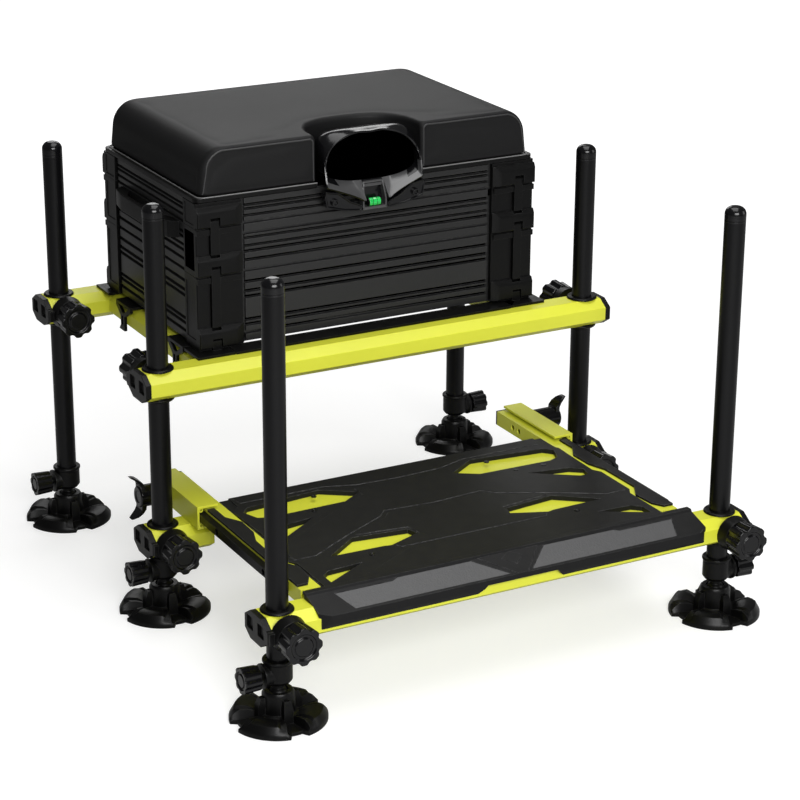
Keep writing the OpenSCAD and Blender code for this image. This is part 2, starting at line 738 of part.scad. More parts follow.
// L-shaped casting over one tray corner; a tray with bolts has a keyed groove and a ledge
module corner_casting(z, h, has_bolt) {
    top = z + h - parting;
    tail = z + block_h + block_bevel_h - seat_gap * 2;
    groove_top = top - ledge_h;
    difference() {
        union() {
            difference() {
                translate([0, 0, z]) linear_extrude(height = h - parting) polygon([
                    [box_hw - corner_w, box_y0], [box_hw - edge_bevel, box_y0],
                    [box_hw, box_y0 + edge_bevel], [box_hw, box_y0 + corner_side_w],
                    [tub_hw, box_y0 + corner_side_w], [tub_hw, tub_y0], [box_hw - corner_w, tub_y0],
                ]);
                block([box_hw - edge_bevel, box_y0 + edge_bevel * 6, z + h * 0.12],
                    [box_hw + cut_over, box_y0 + corner_side_w - edge_bevel * 4, top - h * 0.1]);
            }
            catch_block(z);
            if (has_bolt) block([box_hw - corner_w + edge_bevel * 2, box_y0 - ledge_t, top - ledge_h],
                [box_hw, box_y0 + edge_bevel, top - ledge_lift]);
        }
        block([bolt_x - bolt_w / 2 - bolt_clear, box_y0 - block_t - cut_over, z - cut_over],
            [bolt_x + bolt_w / 2 + bolt_clear, box_y0 + bolt_sink + 2 * fit, z + slot_h]);
        if (has_bolt) {
            block([bolt_x - bolt_w / 2 - bolt_clear, box_y0 - ledge_t - cut_over, tail],
                [bolt_x + bolt_w / 2 + bolt_clear, box_y0 + bolt_sink + 2 * fit, top + cut_over]);
            block([bolt_x - bolt_w / 2 - bolt_clear, box_y0 - bolt_out - 4 * fit, tail - bolt_stroke - seat_gap],
                [bolt_x + bolt_w / 2 + bolt_clear, box_y0 + bolt_sink + 2 * fit, top + cut_over]);
            block([bolt_x - key_w / 2 - bolt_clear, box_y0 + bolt_sink + key_web - 2 * fit,
                tail - bolt_stroke - seat_gap],
                [bolt_x + key_w / 2 + bolt_clear, box_y0 + bolt_sink + key_web + key_t + 2 * fit,
                groove_top + 2 * fit]);
            block([bolt_x - bolt_w / 2 - bolt_clear, box_y0, tail - bolt_stroke - seat_gap],
                [bolt_x + bolt_w / 2 + bolt_clear, box_y0 + bolt_sink + key_web, groove_top + 2 * fit]);
        }
    }
}

module tray_corners(z, h, has_bolt) {
    color(moulded_black) mirrored_about_y(box_yc) mirrored_x() corner_casting(z, h, has_bolt);
}

// Pair of latch bolts on the front of the tray that starts at z
module latch_bolts(z, h) {
    top = z + h;
    tail = z + block_h + block_bevel_h - seat_gap;
    color(moulded_black) mirrored_x() translate([bolt_x, box_y0, 0]) {
        block([-bolt_w / 2, bolt_sink - bolt_t, tail], [bolt_w / 2, bolt_sink, top + hinge_rise]);
        translate([0, -hinge_out, top + hinge_rise]) rod_x(bolt_t, -bolt_w / 2, bolt_w / 2);
        block([-bolt_w / 2, 0, tail], [bolt_w / 2, bolt_sink + key_web + key_t / 2, top - ledge_h - parting]);
        block([-key_w / 2, bolt_sink + key_web, tail],
            [key_w / 2, bolt_sink + key_web + key_t, top - ledge_h - parting]);
    }
}

// Bridge handle on both sides of the middle tray
module carry_handles() {
    low = middle_z + middle_h * 0.6;
    high = middle_z + middle_h * 0.95;
    end_gap = 12;
    span = box_depth - 2 * (corner_side_w + band_gap + end_gap);
    out = 17;
    bar = 6.5;
    color(moulded_black) mirrored_x() translate([tub_hw + band_t, box_yc, low])
        linear_extrude(height = high - low) polygon([
            [0, -span / 2], [out * 0.7, -span / 2 + out * 0.5], [out, -span / 2 + out * 2.2],
            [out, span / 2 - out * 2.2], [out * 0.7, span / 2 - out * 0.5], [0, span / 2],
            [0, span / 2 - out * 1.4], [out - bar, span / 2 - out * 2.6],
            [out - bar, -span / 2 + out * 2.6], [0, -span / 2 + out * 1.4],
        ]);
}

// Lid hinge barrels on the top tray
module lid_tray_barrels() {
    x0 = lid_hinge_x - lid_barrel_l / 2 - lid_barrel_l;
    x1 = lid_hinge_x + lid_barrel_l / 2;
    mirrored_x() for (x = [x0, x1]) translate([x, 0, 0]) difference() {
        union() {
            translate([0, lid_hinge_y, lid_hinge_z]) rod_x(lid_barrel_d, 0, lid_barrel_l);
            block([0, tub_y1 - edge_bevel, lid_hinge_z - lid_barrel_d],
                [lid_barrel_l, lid_hinge_y, lid_hinge_z - edge_bevel]);
        }
        translate([0, lid_hinge_y, lid_hinge_z])
            rod_x(lid_pin_d + 2 * fit, -cut_over, lid_barrel_l + cut_over);
    }
}

module tray_top_walls() {
    tray_walls(top_z, top_h, top_band_shares);
    color(coat_black) lid_tray_barrels();
}

// Plan of the seat: a rounded box drawn in between its corners, with the front cut-out
function corner_arc(cx, cy, r, a0, n) = [for (i = [0 : n])
    let (a = a0 + 90 * i / n) [cx + r * cos(a), cy + r * sin(a)]];
function edge_run(a, b, n) = [for (i = [1 : n - 1]) a + (b - a) * i / n];
function cutout_arc(hw, depth, y0, n) = [for (i = [1 : n - 1])
    let (a = 180 - 180 * i / n, c = cos(a), s = sin(a))
    [hw * sign(c) * pow(abs(c), 0.8), y0 + depth * pow(s, 0.72)]];

// The plan, drawn in by end at the left and right, by edge at the front and back, and by lip at the cut-out
function seat_plan(end, edge, lip) =
    let (hw = box_hw - end, y0 = box_y0 + edge, y1 = box_y1 - edge,
         rr = cushion_corner_r, nw = cutout_w / 2 + lip, n = 4,
         around = [
            [nw, y0],
            each edge_run([nw, y0], [hw - rr, y0], 2),
            each corner_arc(hw - rr, y0 + rr, rr, -90, n),
            each edge_run([hw, y0 + rr], [hw, y1 - rr], 3),
            each corner_arc(hw - rr, y1 - rr, rr, 0, n),
            each edge_run([hw - rr, y1], [-hw + rr, y1], 6),
            each corner_arc(-hw + rr, y1 - rr, rr, 90, n),
            each edge_run([-hw, y1 - rr], [-hw, y0 + rr], 3),
            each corner_arc(-hw + rr, y0 + rr, rr, 180, n),
            each edge_run([-hw + rr, y0], [-nw, y0], 2),
            [-nw, y0],
         ])
    concat(around, cutout_arc(nw, cutout_depth + lip - edge, y0, len(around) - 1));
function at_z(points, z) = [for (p = points) [p[0], p[1], z]];

// Lid board under the cushion, with its hinge barrels and pins
module seat_base() {
    z = lid_z + lid_gap;
    color(moulded_black) {
        translate([0, 0, z]) linear_extrude(height = lid_t) polygon(seat_plan(0, 0, 0));
        mirrored_x() translate([lid_hinge_x - lid_barrel_l / 2, 0, 0]) {
            translate([0, lid_hinge_y, lid_hinge_z]) {
                rod_x(lid_barrel_d, lid_barrel_gap, lid_barrel_l - lid_barrel_gap);
                rod_x(lid_pin_d, -lid_barrel_l, 2 * lid_barrel_l);
            }
            block([lid_barrel_gap, box_y1 - cut_over, z],
                [lid_barrel_l - lid_barrel_gap, lid_hinge_y, lid_hinge_z + lid_barrel_d / 2]);
        }
    }
}

// How far a wall with this rounding at its top has drawn in at height z of a body h high
function drawn_in(z, h, r) = z > h - r ? r - sqrt(max(r * r - pow(z - h + r, 2), 0)) : 0;

// Cushion: leaning sides, widely rounded ends, tight front and back edges and a lip round the cut-out
module seat_cushion() {
    h = cushion_h - seat_gap;
    foot_inset = 6;
    lean = 6;
    front_inset = 1.5;
    lip_r = cushion_edge_r * 1.6;
    rise_shares = [0, 0.26, 0.5, 0.64, 0.76, 0.86, 0.92, 0.96, 0.985, 1];
    color(cushion_grey) translate([0, 0, cushion_z + seat_gap]) loft([for (share = rise_shares)
        let (z = share * h)
        at_z(seat_plan(
            foot_inset + lean * share + drawn_in(z, h, cushion_end_r),
            front_inset * (1 + share) + drawn_in(z, h, cushion_edge_r),
            front_inset + drawn_in(z, h, lip_r)), z)]);
}

// One ring of the pole rest: depth of its foot and how far its top leans back, half width, centre
// height, rise above it, drop below it, and the squareness of its arch and of its foot
function rest_ring(y, lean, hw, zc, up, down, arch, foot) = [for (i = [0 : rest_n - 1])
    let (a = -360 * i / rest_n, c = cos(a), s = sin(a), k = s > 0 ? arch : foot,
         z = s > 0 ? up * pow(s, k) : -down * pow(-s, k))
    [hw * sign(c) * pow(abs(c), k), y + lean * (z + down) / (up + down), zc + z]];

// The rings from the mouth to the closed back, drawn in by the wall t
function rest_rings(t) =
    let (y = box_y0 - rest_lip, hw = mouth_w / 2 - t, d = rest_depth, out = t > 0 ? cut_over : 0,
         up = rest_up - t, floor_z = rest_floor - t)
    [
        rest_ring(y - out, rest_lip, hw, rest_z, up, rest_down - t, 1, 0.45),
        rest_ring(y + rest_lip * 0.16, rest_lip, hw, rest_z, up, rest_down - t, 0.95, 0.45),
        rest_ring(y + rest_lip * 0.62, rest_lip * 0.8, hw, rest_z, up * 0.99, floor_z, 0.7, 0.6),
        rest_ring(y + d * 0.48, rest_lip * 0.4, hw * 0.97, rest_z, up * 0.95, floor_z * 0.95, 0.6, 0.7),
        rest_ring(y + d * 0.75, rest_lip * 0.2, hw * 0.9, rest_z, up * 0.87, floor_z * 0.8, 0.6, 0.8),
        rest_ring(y + d - t * 2, 0, hw * 0.74, rest_z, up * 0.7, floor_z * 0.5, 0.7, 0.8),
    ];
rest_n = 48;
rest_lip = 20;
rest_wall = 2.4;
rest_rise = 20;
rest_z = lid_z + rest_rise;
rest_up = lid_t + cushion_h - rest_rise;
rest_down = 50;
rest_floor = 19;

// Outline of a screwed ear, as shares of the mouth's half width and of the ear's height
ear_shares = [
    [0.22, 0.37], [0.56, 0.62], [0.92, 1], [1.04, 0.86], [1.01, 0.5], [0.62, 0.2], [0.28, 0], [0.2, 0.07],
];

// Pole rest in the cushion's cut-out: a bell-mouthed hood on two ears screwed to the top tray, and a
// frame for the level between them
module pole_rest() {
    ear_z = top_z - edge_bevel;
    ear_h = 29;
    face = tub_y0 - band_t;
    ear_y = box_y0 - rest_lip * 0.75;
    frame_hw = vial_l * 0.95;
    frame_t = 2;
    frame_top = lid_z - frame_t;
    frame_low = vial_z - vial_d / 2 - seat_gap - frame_t;
    color(gloss_black) {
        difference() {
            union() {
                difference() {
                    union() {
                        loft(rest_rings(0));
                        mirrored_x() {
                            translate([0, ear_y, 0]) along_y(face - parting - ear_y)
                                polygon([for (p = ear_shares) [p[0] * mouth_w / 2, ear_z + p[1] * ear_h]]);
                            translate([mouth_w / 2 * 0.86, 0, ear_z + ear_h * 0.5])
                                rod_y(ear_h * 0.34, ear_y - edge_bevel, box_y0);
                        }
                    }
                    loft(rest_rings(rest_wall));
                    block([-frame_hw + frame_t, box_y0 - rest_lip - cut_over, top_z - ear_h],
                        [frame_hw - frame_t, face - vial_d - frame_t, frame_top + frame_t]);
                }
                block([-frame_hw, face - vial_d - frame_t, frame_low], [frame_hw, face - parting, frame_top]);
            }
            block([-frame_hw + frame_t, face - vial_d - frame_t - cut_over, frame_low + frame_t],
                [frame_hw - frame_t, face - vial_d * 0.6, frame_top - frame_t]);
        }
        block([-vial_l / 2 - frame_t, face - vial_d * 0.7 + fit, frame_low + frame_t / 2],
            [vial_l / 2 + frame_t, face - parting, vial_z + vial_d * 0.6]);
    }
}
vial_l = 17;
vial_d = 10;
vial_rise = 7.5;
vial_z = top_z + vial_rise;

// Bubble level in the front of the pole rest
module level_vial() {
    face = tub_y0 - band_t - vial_d * 0.7;
    color(vial_green) translate([0, face - vial_d / 2, vial_z]) rod_x(vial_d, -vial_l / 2, vial_l / 2);
}

// Channel section as (x, z), open towards the middle, with a screw port in each outer corner
module channel_shape() {
    z0 = carrier_top;
    z1 = carrier_top + channel_h;
    port_x = channel_x1 - channel_wall - channel_port_d / 2 + edge_bevel;
    difference() {
        union() {
            difference() {
                translate([channel_x0, z0]) square([channel_x1 - channel_x0, channel_h]);
                translate([channel_x0 - cut_over, z0 + channel_wall])
                    square([channel_x1 - channel_x0 - channel_wall + cut_over, channel_h - 2 * channel_wall]);
            }
            for (z = [z0 + channel_wall + channel_port_d / 2 - edge_bevel,
                      z1 - channel_wall - channel_port_d / 2 + edge_bevel])
                translate([port_x, z]) circle(d = channel_port_d);
        }
        for (z = [z0 + channel_wall + channel_port_d / 2 - edge_bevel,
                  z1 - channel_wall - channel_port_d / 2 + edge_bevel])
            translate([port_x, z]) circle(d = channel_port_hole_d);
    }
}

// Brackets on the middle legs with the channels that the footplate slides in
module carrier_channels() {
    color(lime) difference() {
        mirrored_x() {
            translate([(bracket_x0 + rail_l / 2) / 2, middle_y, carrier_top]) along_x(rail_l / 2 - bracket_x0)
                rail_shape(rail_w, rail_h, rail_flat, rail_bevel, rail_wall);
            translate([0, channel_y0, 0]) along_y(channel_l) channel_shape();
        }
        translate([0, middle_y, 0]) rail_bores(carrier_top, -1);
        mirrored_x() translate([0, wing_y, track_z])
            rod_x(wing_stem_d + 2 * fit, channel_x1 - channel_wall - cut_over, channel_x1 + cut_over);
    }
}

module carrier_clamps() {
    for (side = sides) {
        leg_bush(side * leg_x, middle_y, carrier_top, -1);
        clamp_housing(middle_y, carrier_top, side, -1);
    }
}

// Wing knob that locks a slide in its channel
module wing_knob(side) {
    r = wing_h * 0.62;
    color(gloss_black) translate([0, wing_y, track_z]) mirror([side < 0 ? 1 : 0, 0, 0]) {
        rod_x(wing_stem_d, channel_x1 - channel_wall, channel_x1 + wing_boss_l);
        rod_x(wing_boss_d, channel_x1 + seat_gap, channel_x1 + wing_boss_l);
        translate([channel_x1 + wing_boss_l + wing_t - r, 0, 0]) intersection() {
            rotate([90, 0, 0]) linear_extrude(height = wing_w, center = true) difference() {
                circle(r = r);
                translate([-wing_t, 0]) circle(r = r);
            }
            rotate([0, 90, 0]) linear_extrude(height = r + cut_over) intersection() {
                square([wing_h, wing_w], center = true);
                union() {
                    circle(d = wing_boss_d);
                    square([wing_h, wing_w * 0.7], center = true);
                }
            }
        }
    }
}

// Side rails, front rail and the sheet under the deck
module footplate_frame() {
    cross_rail(front_y, foot_rail_top, -1);
    color(lime) {
        mirrored_x() difference() {
            block([slide_x0, slide_y0, slide_z0], [slide_x1, slide_y1, slide_z1]);
            block([slide_x0 + slide_wall, slide_y0 - cut_over, slide_z0 + slide_wall],
                [slide_x1 - slide_wall, slide_y1 + cut_over, slide_z1 - slide_wall]);
            for (s = slide_hole_shares) translate([0, slide_y0 + s * slide_l, (slide_z0 + slide_z1) / 2])
                rod_x(slide_hole_d, slide_x0 - cut_over, slide_x0 + slide_w / 2);
        }
        block([-slide_x0, under_y0, sheet_z], [slide_x0, deck_y1, sheet_z + sheet_t]);
    }
}

// End caps, bushes and knob bosses of the front rail, rail plugs and slide tracks
module footplate_clamps() {
    for (side = sides) {
        leg_bush(side * leg_x, front_y, foot_rail_top, -1);
        clamp_housing(front_y, foot_rail_top, side, -1);
    }
    color(moulded_black) mirrored_x() {
        block([slide_x0, slide_y1, slide_z0], [slide_x1, slide_y1 + plug_t, slide_z1]);
        difference() {
            block([slide_x1, slide_y1 - track_l, track_z - track_h / 2],
                [track_x1, slide_y1, track_z + track_h / 2]);
            for (s = track_hole_shares) translate([0, slide_y1 - s * track_l, track_z])
                rod_x(slide_hole_d, slide_x1 - cut_over, track_x1 + cut_over);
        }
    }
}

// Half of the deck's outline, as shares of its half width and its length from the front
deck_edge_shares = [
    [0, 0], [0.972, 0], [0.972, 0.113], [0.97, 0.27], [0.997, 0.308], [0.997, 0.528], [0.97, 0.563],
    [0.974, 0.712], [0.98, 0.848], [0.926, 0.905], [0.926, 1], [0, 1],
];
slot_1_shares = [
    [0.283, 0.81], [0.461, 0.907], [0.891, 0.873], [0.935, 0.834], [0.9, 0.758], [0.839, 0.74], [0.404, 0.747],
];
slot_2_shares = [[0.639, 0.66], [0.87, 0.629], [0.935, 0.591], [0.917, 0.531], [0.87, 0.531]];
slot_3_shares = [
    [0.291, 0.371], [0.587, 0.399], [0.791, 0.274], [0.496, 0.267], [0.457, 0.26], [0.274, 0.319],
];
slot_4_shares = [[0.683, 0.166], [0.878, 0.155], [0.922, 0.124], [0.922, 0.057]];
deck_slots = [slot_1_shares, slot_2_shares, slot_3_shares, slot_4_shares];
function deck_places(shares) = [for (p = shares) [p[0] * deck_w / 2, deck_y0 + p[1] * deck_l]];

// Raised fields of the deck, in the same shares: the middle with its arms, the front middle, the front
// and the rear
field_1_shares = [
    [0, 0.8445], [0.287, 0.8445], [0.287, 0.771], [0.604, 0.625], [0.891, 0.479], [0.985, 0.479],
    [0.965, 0.305], [0.848, 0.305], [0.596, 0.426], [0.339, 0.534], [0.287, 0.58], [0, 0.562],
];
field_2_shares = [
    [0, 0.538], [0.278, 0.556], [0.33, 0.51], [0.565, 0.413], [0.28, 0.386], [0.262, 0.312],
    [0.44, 0.248], [0.42, 0.224], [0, 0.224],
];
field_3_shares = [[0, 0.2], [0.4, 0.2], [0.7, 0.065], [0.87, 0.022], [0.87, 0.016], [0, 0.016]];
field_4_shares = [[0, 0.87], [0.25, 0.88], [0.42, 0.925], [0.9, 0.925], [0.915, 0.99], [0, 0.99]];
deck_fields = [field_1_shares, field_2_shares, field_3_shares, field_4_shares];
field_t = 0.9;

// Deck of one plate with raised fields and a layer under it, cut through by slanted slots
module footplate_deck() {
    under_z = sheet_z + sheet_t;
    color(moulded_black) difference() {
        mirrored_x() {
            translate([0, 0, deck_top - deck_t]) linear_extrude(height = deck_t - field_t)
                polygon(deck_places(deck_edge_shares));
            block([0, under_y0, under_z], [slide_x0 - seat_gap, deck_y1, deck_top - deck_t + fit]);
            for (field = deck_fields) translate([0, 0, deck_top - deck_t])
                linear_extrude(height = deck_t) polygon(deck_places(field));
        }
        mirrored_x() for (slot = deck_slots)
            translate([0, 0, under_z - cut_over]) linear_extrude(height = deck_top - under_z + 2 * cut_over)
                polygon(deck_places(slot));
    }
}

// Inner edge of a trim, as shares of the slides' half span and of the deck's length
trim_shares = [
    [1, 0.088], [0.948, 0.088], [0.914, 0.137], [0.904, 0.242], [0.956, 0.322], [0.952, 0.545],
    [0.919, 0.629], [0.916, 0.747], [0.964, 0.821], [0.964, 0.93], [1, 0.93],
];
module footplate_trims() {
    color(moulded_black) mirrored_x() translate([0, 0, slide_z1]) linear_extrude(height = deck_t)
        polygon([for (p = trim_shares) [p[0] * slide_x1, deck_y0 + p[1] * deck_l]]);
}

// Toe bar over the front rail: a ridge over the deck's edge, a slope with sunk panels on both sides of
// a V with a plain boss, cut-back ends and a notch in the lower edge
toe_lap = 4;
toe_ridge_t = 3;
toe_ridge_w = 9;
toe_slope_drop = 5;
toe_face_h = 15;
toe_skirt_h = 27;
panel_sink = 0.8;
vee_t = 1.1;
// Outlines in plan: shares of the half width, and of the way from the ridge to the nose
panel_shares = [[0.875, 0.1], [0.59, 0.1], [0.56, 0], [0.19, 0], [0.055, 0.9], [0.83, 0.9]];
vee_shares = [[0.155, 0], [0.025, 1], [-0.025, 1], [-0.155, 0]];
boss_shares = [[0, 0.02], [0.055, 0.28], [0, 0.6], [-0.055, 0.28]];
notch_shares = [[-0.22, 0], [-0.18, 0.38], [0.18, 0.38], [0.22, 0]];
toe_crest_w = 2;
toe_crest_h = 0.3;
toe_crest_y = toe_back + toe_lap - toe_ridge_w - toe_crest_w;
toe_crest_z = deck_top + toe_crest_h;
toe_nose_z = foot_rail_top - toe_slope_drop;
function toe_places(shares) = [for (p = shares)
    [p[0] * toe_w / 2, toe_crest_y - p[1] * (toe_crest_y + toe_reach)]];

// A layer between two heights over the slope, drawn as (y, z)
module slope_layer(low, high) {
    along_x(toe_w) polygon([
        [toe_crest_y, toe_crest_z + low], [toe_crest_y, toe_crest_z + high],
        [-toe_reach, toe_nose_z + high], [-toe_reach, toe_nose_z + low],
    ]);
}

module toe_prism(points) {
    translate([0, 0, foot_rail_top - rail_h]) linear_extrude(height = 2 * rail_h) polygon(points);
}

module toe_bar() {
    top = foot_rail_top;
    edge = rail_w / 2 + seat_gap;
    end_cut = 14;
    lap_y = toe_back + toe_lap;
    ridge_z = deck_top + toe_ridge_t;
    color(moulded_black) translate([0, front_y, 0]) difference() {
        intersection() {
            union() {
                along_x(toe_w) polygon([
                    [toe_back, top], [toe_back, deck_top], [lap_y, deck_top],
                    [lap_y, ridge_z - edge_bevel], [lap_y - edge_bevel, ridge_z],
                    [lap_y - toe_ridge_w, ridge_z], [toe_crest_y, toe_crest_z],
                    [-toe_reach, toe_nose_z], [-toe_reach - edge_bevel / 2, toe_nose_z - edge_bevel],
                    [-toe_reach, toe_nose_z - toe_face_h], [-edge - edge_bevel, top - toe_skirt_h],
                    [-edge, top - toe_skirt_h], [-edge, top - rail_bevel], [-rail_flat / 2, top],
                ]);
                intersection() {
                    slope_layer(-panel_sink, vee_t);
                    toe_prism(toe_places(vee_shares));
                }
                intersection() {
                    slope_layer(-panel_sink, vee_t * 2);
                    toe_prism(toe_places(boss_shares));
                }
            }
            toe_prism([
                [-toe_w / 2, lap_y + cut_over], [toe_w / 2, lap_y + cut_over],
                [toe_w / 2, -rail_flat], [toe_w / 2 - end_cut, -toe_reach - cut_over],
                [-toe_w / 2 + end_cut, -toe_reach - cut_over], [-toe_w / 2, -rail_flat],
            ]);
        }
        mirrored_x() intersection() {
            slope_layer(-panel_sink, cut_over);
            toe_prism(toe_places(panel_shares));
        }
        translate([0, -toe_reach - cut_over, 0]) along_y(toe_reach) polygon([for (p = notch_shares)
            [p[0] * toe_w / 2, top - toe_skirt_h - fit + p[1] * toe_skirt_h]]);
    }
}

for (r = [0 : 2]) for (s = [0 : 1]) {
    tail_name = str(row_names[r], "_", side_names[s]);
    x = sides[s] * leg_x;
    leg_tube(x, row_y[r]);
    foot_fitting(x, row_y[r], sides[s]);
    foot_knob(x, row_y[r], sides[s]);
    foot_pad(x, row_y[r]);
}
for (s = [0 : 1]) {
    x = sides[s] * leg_x;
    clamp_knob(x, middle_y, seat_rail_top, 1);
    clamp_knob(x, back_y, seat_rail_top, -1);
    clamp_knob(x, front_y, foot_rail_top, -1);
    clamp_knob(x, middle_y, carrier_top, -1);
    wing_knob(sides[s]);
}
carrier_channels();
carrier_clamps();
footplate_frame();
footplate_deck();
footplate_trims();
toe_bar();
footplate_clamps();
seat_frame_rails();
seat_side_rails();
frame_plastics();
base_brackets();
tray_walls(deep_z, deep_h, deep_band_shares);  // tray_deep_walls
tray_corners(deep_z, deep_h, true);  // tray_deep_corners
tray_walls(middle_z, middle_h, middle_band_shares);  // tray_middle_walls
tray_corners(middle_z, middle_h, true);  // tray_middle_corners
carry_handles();
tray_top_walls();
tray_corners(top_z, top_h, false);  // tray_top_corners
seat_base();
seat_cushion();
pole_rest();
level_vial();
latch_bolts(middle_z, middle_h);  // bolts_front_upper
translate([0, 2 * box_yc, 0]) mirror([0, 1, 0]) latch_bolts(middle_z, middle_h);  // bolts_rear_upper
latch_bolts(deep_z, deep_h);  // bolts_front_lower
translate([0, 2 * box_yc, 0]) mirror([0, 1, 0]) latch_bolts(deep_z, deep_h);  // bolts_rear_lower
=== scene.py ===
"""Looks of a fishing seat box: finishes, cushion, pole rest, knobs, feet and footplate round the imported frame.

All lengths are written in millimetres and turned into Blender's metres by the MM factor.
The front, with the footplate, faces -Y, and left is -X.
"""

from __future__ import annotations

import json
import logging
import math
from dataclasses import dataclass
from enum import Enum
from typing import Callable, Iterable, Sequence

import bmesh
import bpy
from mathutils import Matrix, Vector

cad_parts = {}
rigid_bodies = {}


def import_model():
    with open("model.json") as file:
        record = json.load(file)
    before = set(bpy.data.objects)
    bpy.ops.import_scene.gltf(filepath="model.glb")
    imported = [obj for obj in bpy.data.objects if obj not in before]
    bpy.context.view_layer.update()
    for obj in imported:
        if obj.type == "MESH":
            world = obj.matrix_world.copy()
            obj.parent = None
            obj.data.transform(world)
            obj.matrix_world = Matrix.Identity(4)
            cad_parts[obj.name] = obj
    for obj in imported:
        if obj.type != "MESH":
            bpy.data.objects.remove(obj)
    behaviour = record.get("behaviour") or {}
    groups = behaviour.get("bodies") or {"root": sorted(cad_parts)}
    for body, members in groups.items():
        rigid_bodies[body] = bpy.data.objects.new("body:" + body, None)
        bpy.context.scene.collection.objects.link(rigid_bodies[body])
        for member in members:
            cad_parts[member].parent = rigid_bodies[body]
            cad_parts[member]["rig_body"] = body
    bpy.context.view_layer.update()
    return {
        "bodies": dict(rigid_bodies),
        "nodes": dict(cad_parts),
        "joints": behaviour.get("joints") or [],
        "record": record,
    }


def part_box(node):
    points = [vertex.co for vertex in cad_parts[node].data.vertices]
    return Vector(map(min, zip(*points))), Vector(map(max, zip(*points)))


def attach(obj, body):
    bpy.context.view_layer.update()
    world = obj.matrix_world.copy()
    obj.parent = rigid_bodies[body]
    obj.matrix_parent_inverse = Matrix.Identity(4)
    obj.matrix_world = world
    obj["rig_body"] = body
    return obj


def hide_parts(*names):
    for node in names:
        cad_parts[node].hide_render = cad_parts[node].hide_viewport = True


Piece = bpy.types.Object
Material = bpy.types.Material
Node = bpy.types.Node
Socket = bpy.types.NodeSocket
Tree = bpy.types.NodeTree
Pair = tuple[float, float]
Triple = tuple[float, float, float]
Rounding = tuple[float, float, int]
Test = Callable[[Vector, Vector], bool]

MM = 0.001
ROWS = ("front", "middle", "back")
SIDES = ((-1, "left"), (1, "right"))
STRAIGHT = 0.9  # Least cosine between a face's normal and the axis that it looks along.
DUST_TONE = (0.42, 0.41, 0.38, 1.0)
TONE_DRIFT = (0.82, 1.12)
BUMP_DEPTH = 0.0004
log = logging.getLogger("seat_box")


def mm(*values: float) -> Vector:
    """Millimetres as a vector in metres."""
    return Vector([value * MM for value in values])


def box_mm(node: str) -> tuple[Vector, Vector]:
    """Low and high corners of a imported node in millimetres."""
    low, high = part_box(node)
    return low / MM, high / MM


def up(_: Vector, normal: Vector) -> bool:
    """Whether a face looks up."""
    return normal.z > STRAIGHT


def down(_: Vector, normal: Vector) -> bool:
    """Whether a face looks down."""
    return normal.z < -STRAIGHT


class Slot(Enum):
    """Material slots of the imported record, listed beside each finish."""

    LEG = "leg_coat"
    LIME = "lime_paint"
    TRAY = "tray_coat"
    PLASTIC = "black_plastic"
    GLOSS = "gloss_black"
    DECK = "deck_plastic"
    COVER = "seat_cover"
    VIAL = "vial"


def wire(tree: Tree, node: Node, feeds: dict) -> Node:
    """Feeds inputs of a node, by their name or number, from other sockets or with values."""
    for key, source in feeds.items():
        if isinstance(source, Socket):
            tree.links.new(source, node.inputs[key])
        else:
            node.inputs[key].default_value = source
    return node


def add_node(tree: Tree, kind: str, feeds: dict | None = None, **settings: object) -> Node:
    """Adds a shader node.

    Args:
        tree: Node tree that gets the node.
        kind: Node type without its ShaderNode prefix.
        feeds: Sockets or values for its inputs, by their name or number.
        settings: Properties of the node.
    Returns:
        The new node.
    """
    node = tree.nodes.new("ShaderNode" + kind)
    for name, value in settings.items():
        setattr(node, name, value)
    return wire(tree, node, feeds or {})


def new_material(name: str) -> tuple[Material, Tree, Node]:
    """A new material, its node tree and its Principled shader."""
    material = bpy.data.materials.new(name)
    material.use_nodes = True
    return material, material.node_tree, material.node_tree.nodes["Principled BSDF"]


def ramp(tree: Tree, source: Socket, first: Triple, last: Triple) -> Socket:
    """Turns a value into a colour between two."""
    node = add_node(tree, "ValToRGB", {"Fac": source})
    for element, colour in zip(node.color_ramp.elements, (first, last)):
        element.color = (*colour, 1.0)
    return node.outputs["Color"]


class Effect:
    """A shader node group that takes the place on a piece, built once and placed in each material."""

    def __init__(self, name: str, **inputs: float) -> None:
        self.tree = bpy.data.node_groups.new(name, "ShaderNodeTree")
        self.tree.interface.new_socket("Place", in_out="INPUT", socket_type="NodeSocketVector")
        for key, value in inputs.items():
            socket = self.tree.interface.new_socket(key, in_out="INPUT", socket_type="NodeSocketFloat")
            socket.default_value = value
        self.inward = self.tree.nodes.new("NodeGroupInput")

    def given(self, name: str) -> Socket:
        """The socket of a named input, inside the group."""
        return self.inward.outputs[name]

    def node(self, kind: str, feeds: dict | None = None, **settings: object) -> Node:
        """Adds a node inside the group."""
        return add_node(self.tree, kind, feeds, **settings)

    def maths(self, operation: str, *terms: Socket | float) -> Socket:
        """Adds an operation on sockets or values."""
        return self.node("Math", dict(enumerate(terms)), operation=operation).outputs[0]

    def noise(self, scale: Socket | float, detail: float, roughness: float = 0.5) -> Socket:
        """Adds noise at the place on the piece."""
        feeds = {"Vector": self.given("Place"), "Scale": scale, "Detail": detail, "Roughness": roughness}
        return self.node("TexNoise", feeds).outputs["Fac"]

    def band(self, source: Socket, low: float, high: float) -> Socket:
        """Adds a rise from 0 to 1 between two values."""
        return self.node("MapRange", {"Value": source, "From Min": low, "From Max": high}).outputs[0]

    def gives(self, name: str, source: Socket) -> Effect:
        """Adds the named output, fed by a socket inside the group, and gives the effect back."""
        self.tree.interface.new_socket(name, in_out="OUTPUT", socket_type="NodeSocketFloat")
        self.tree.links.new(source, self.tree.nodes.new("NodeGroupOutput").inputs[name])
        return self


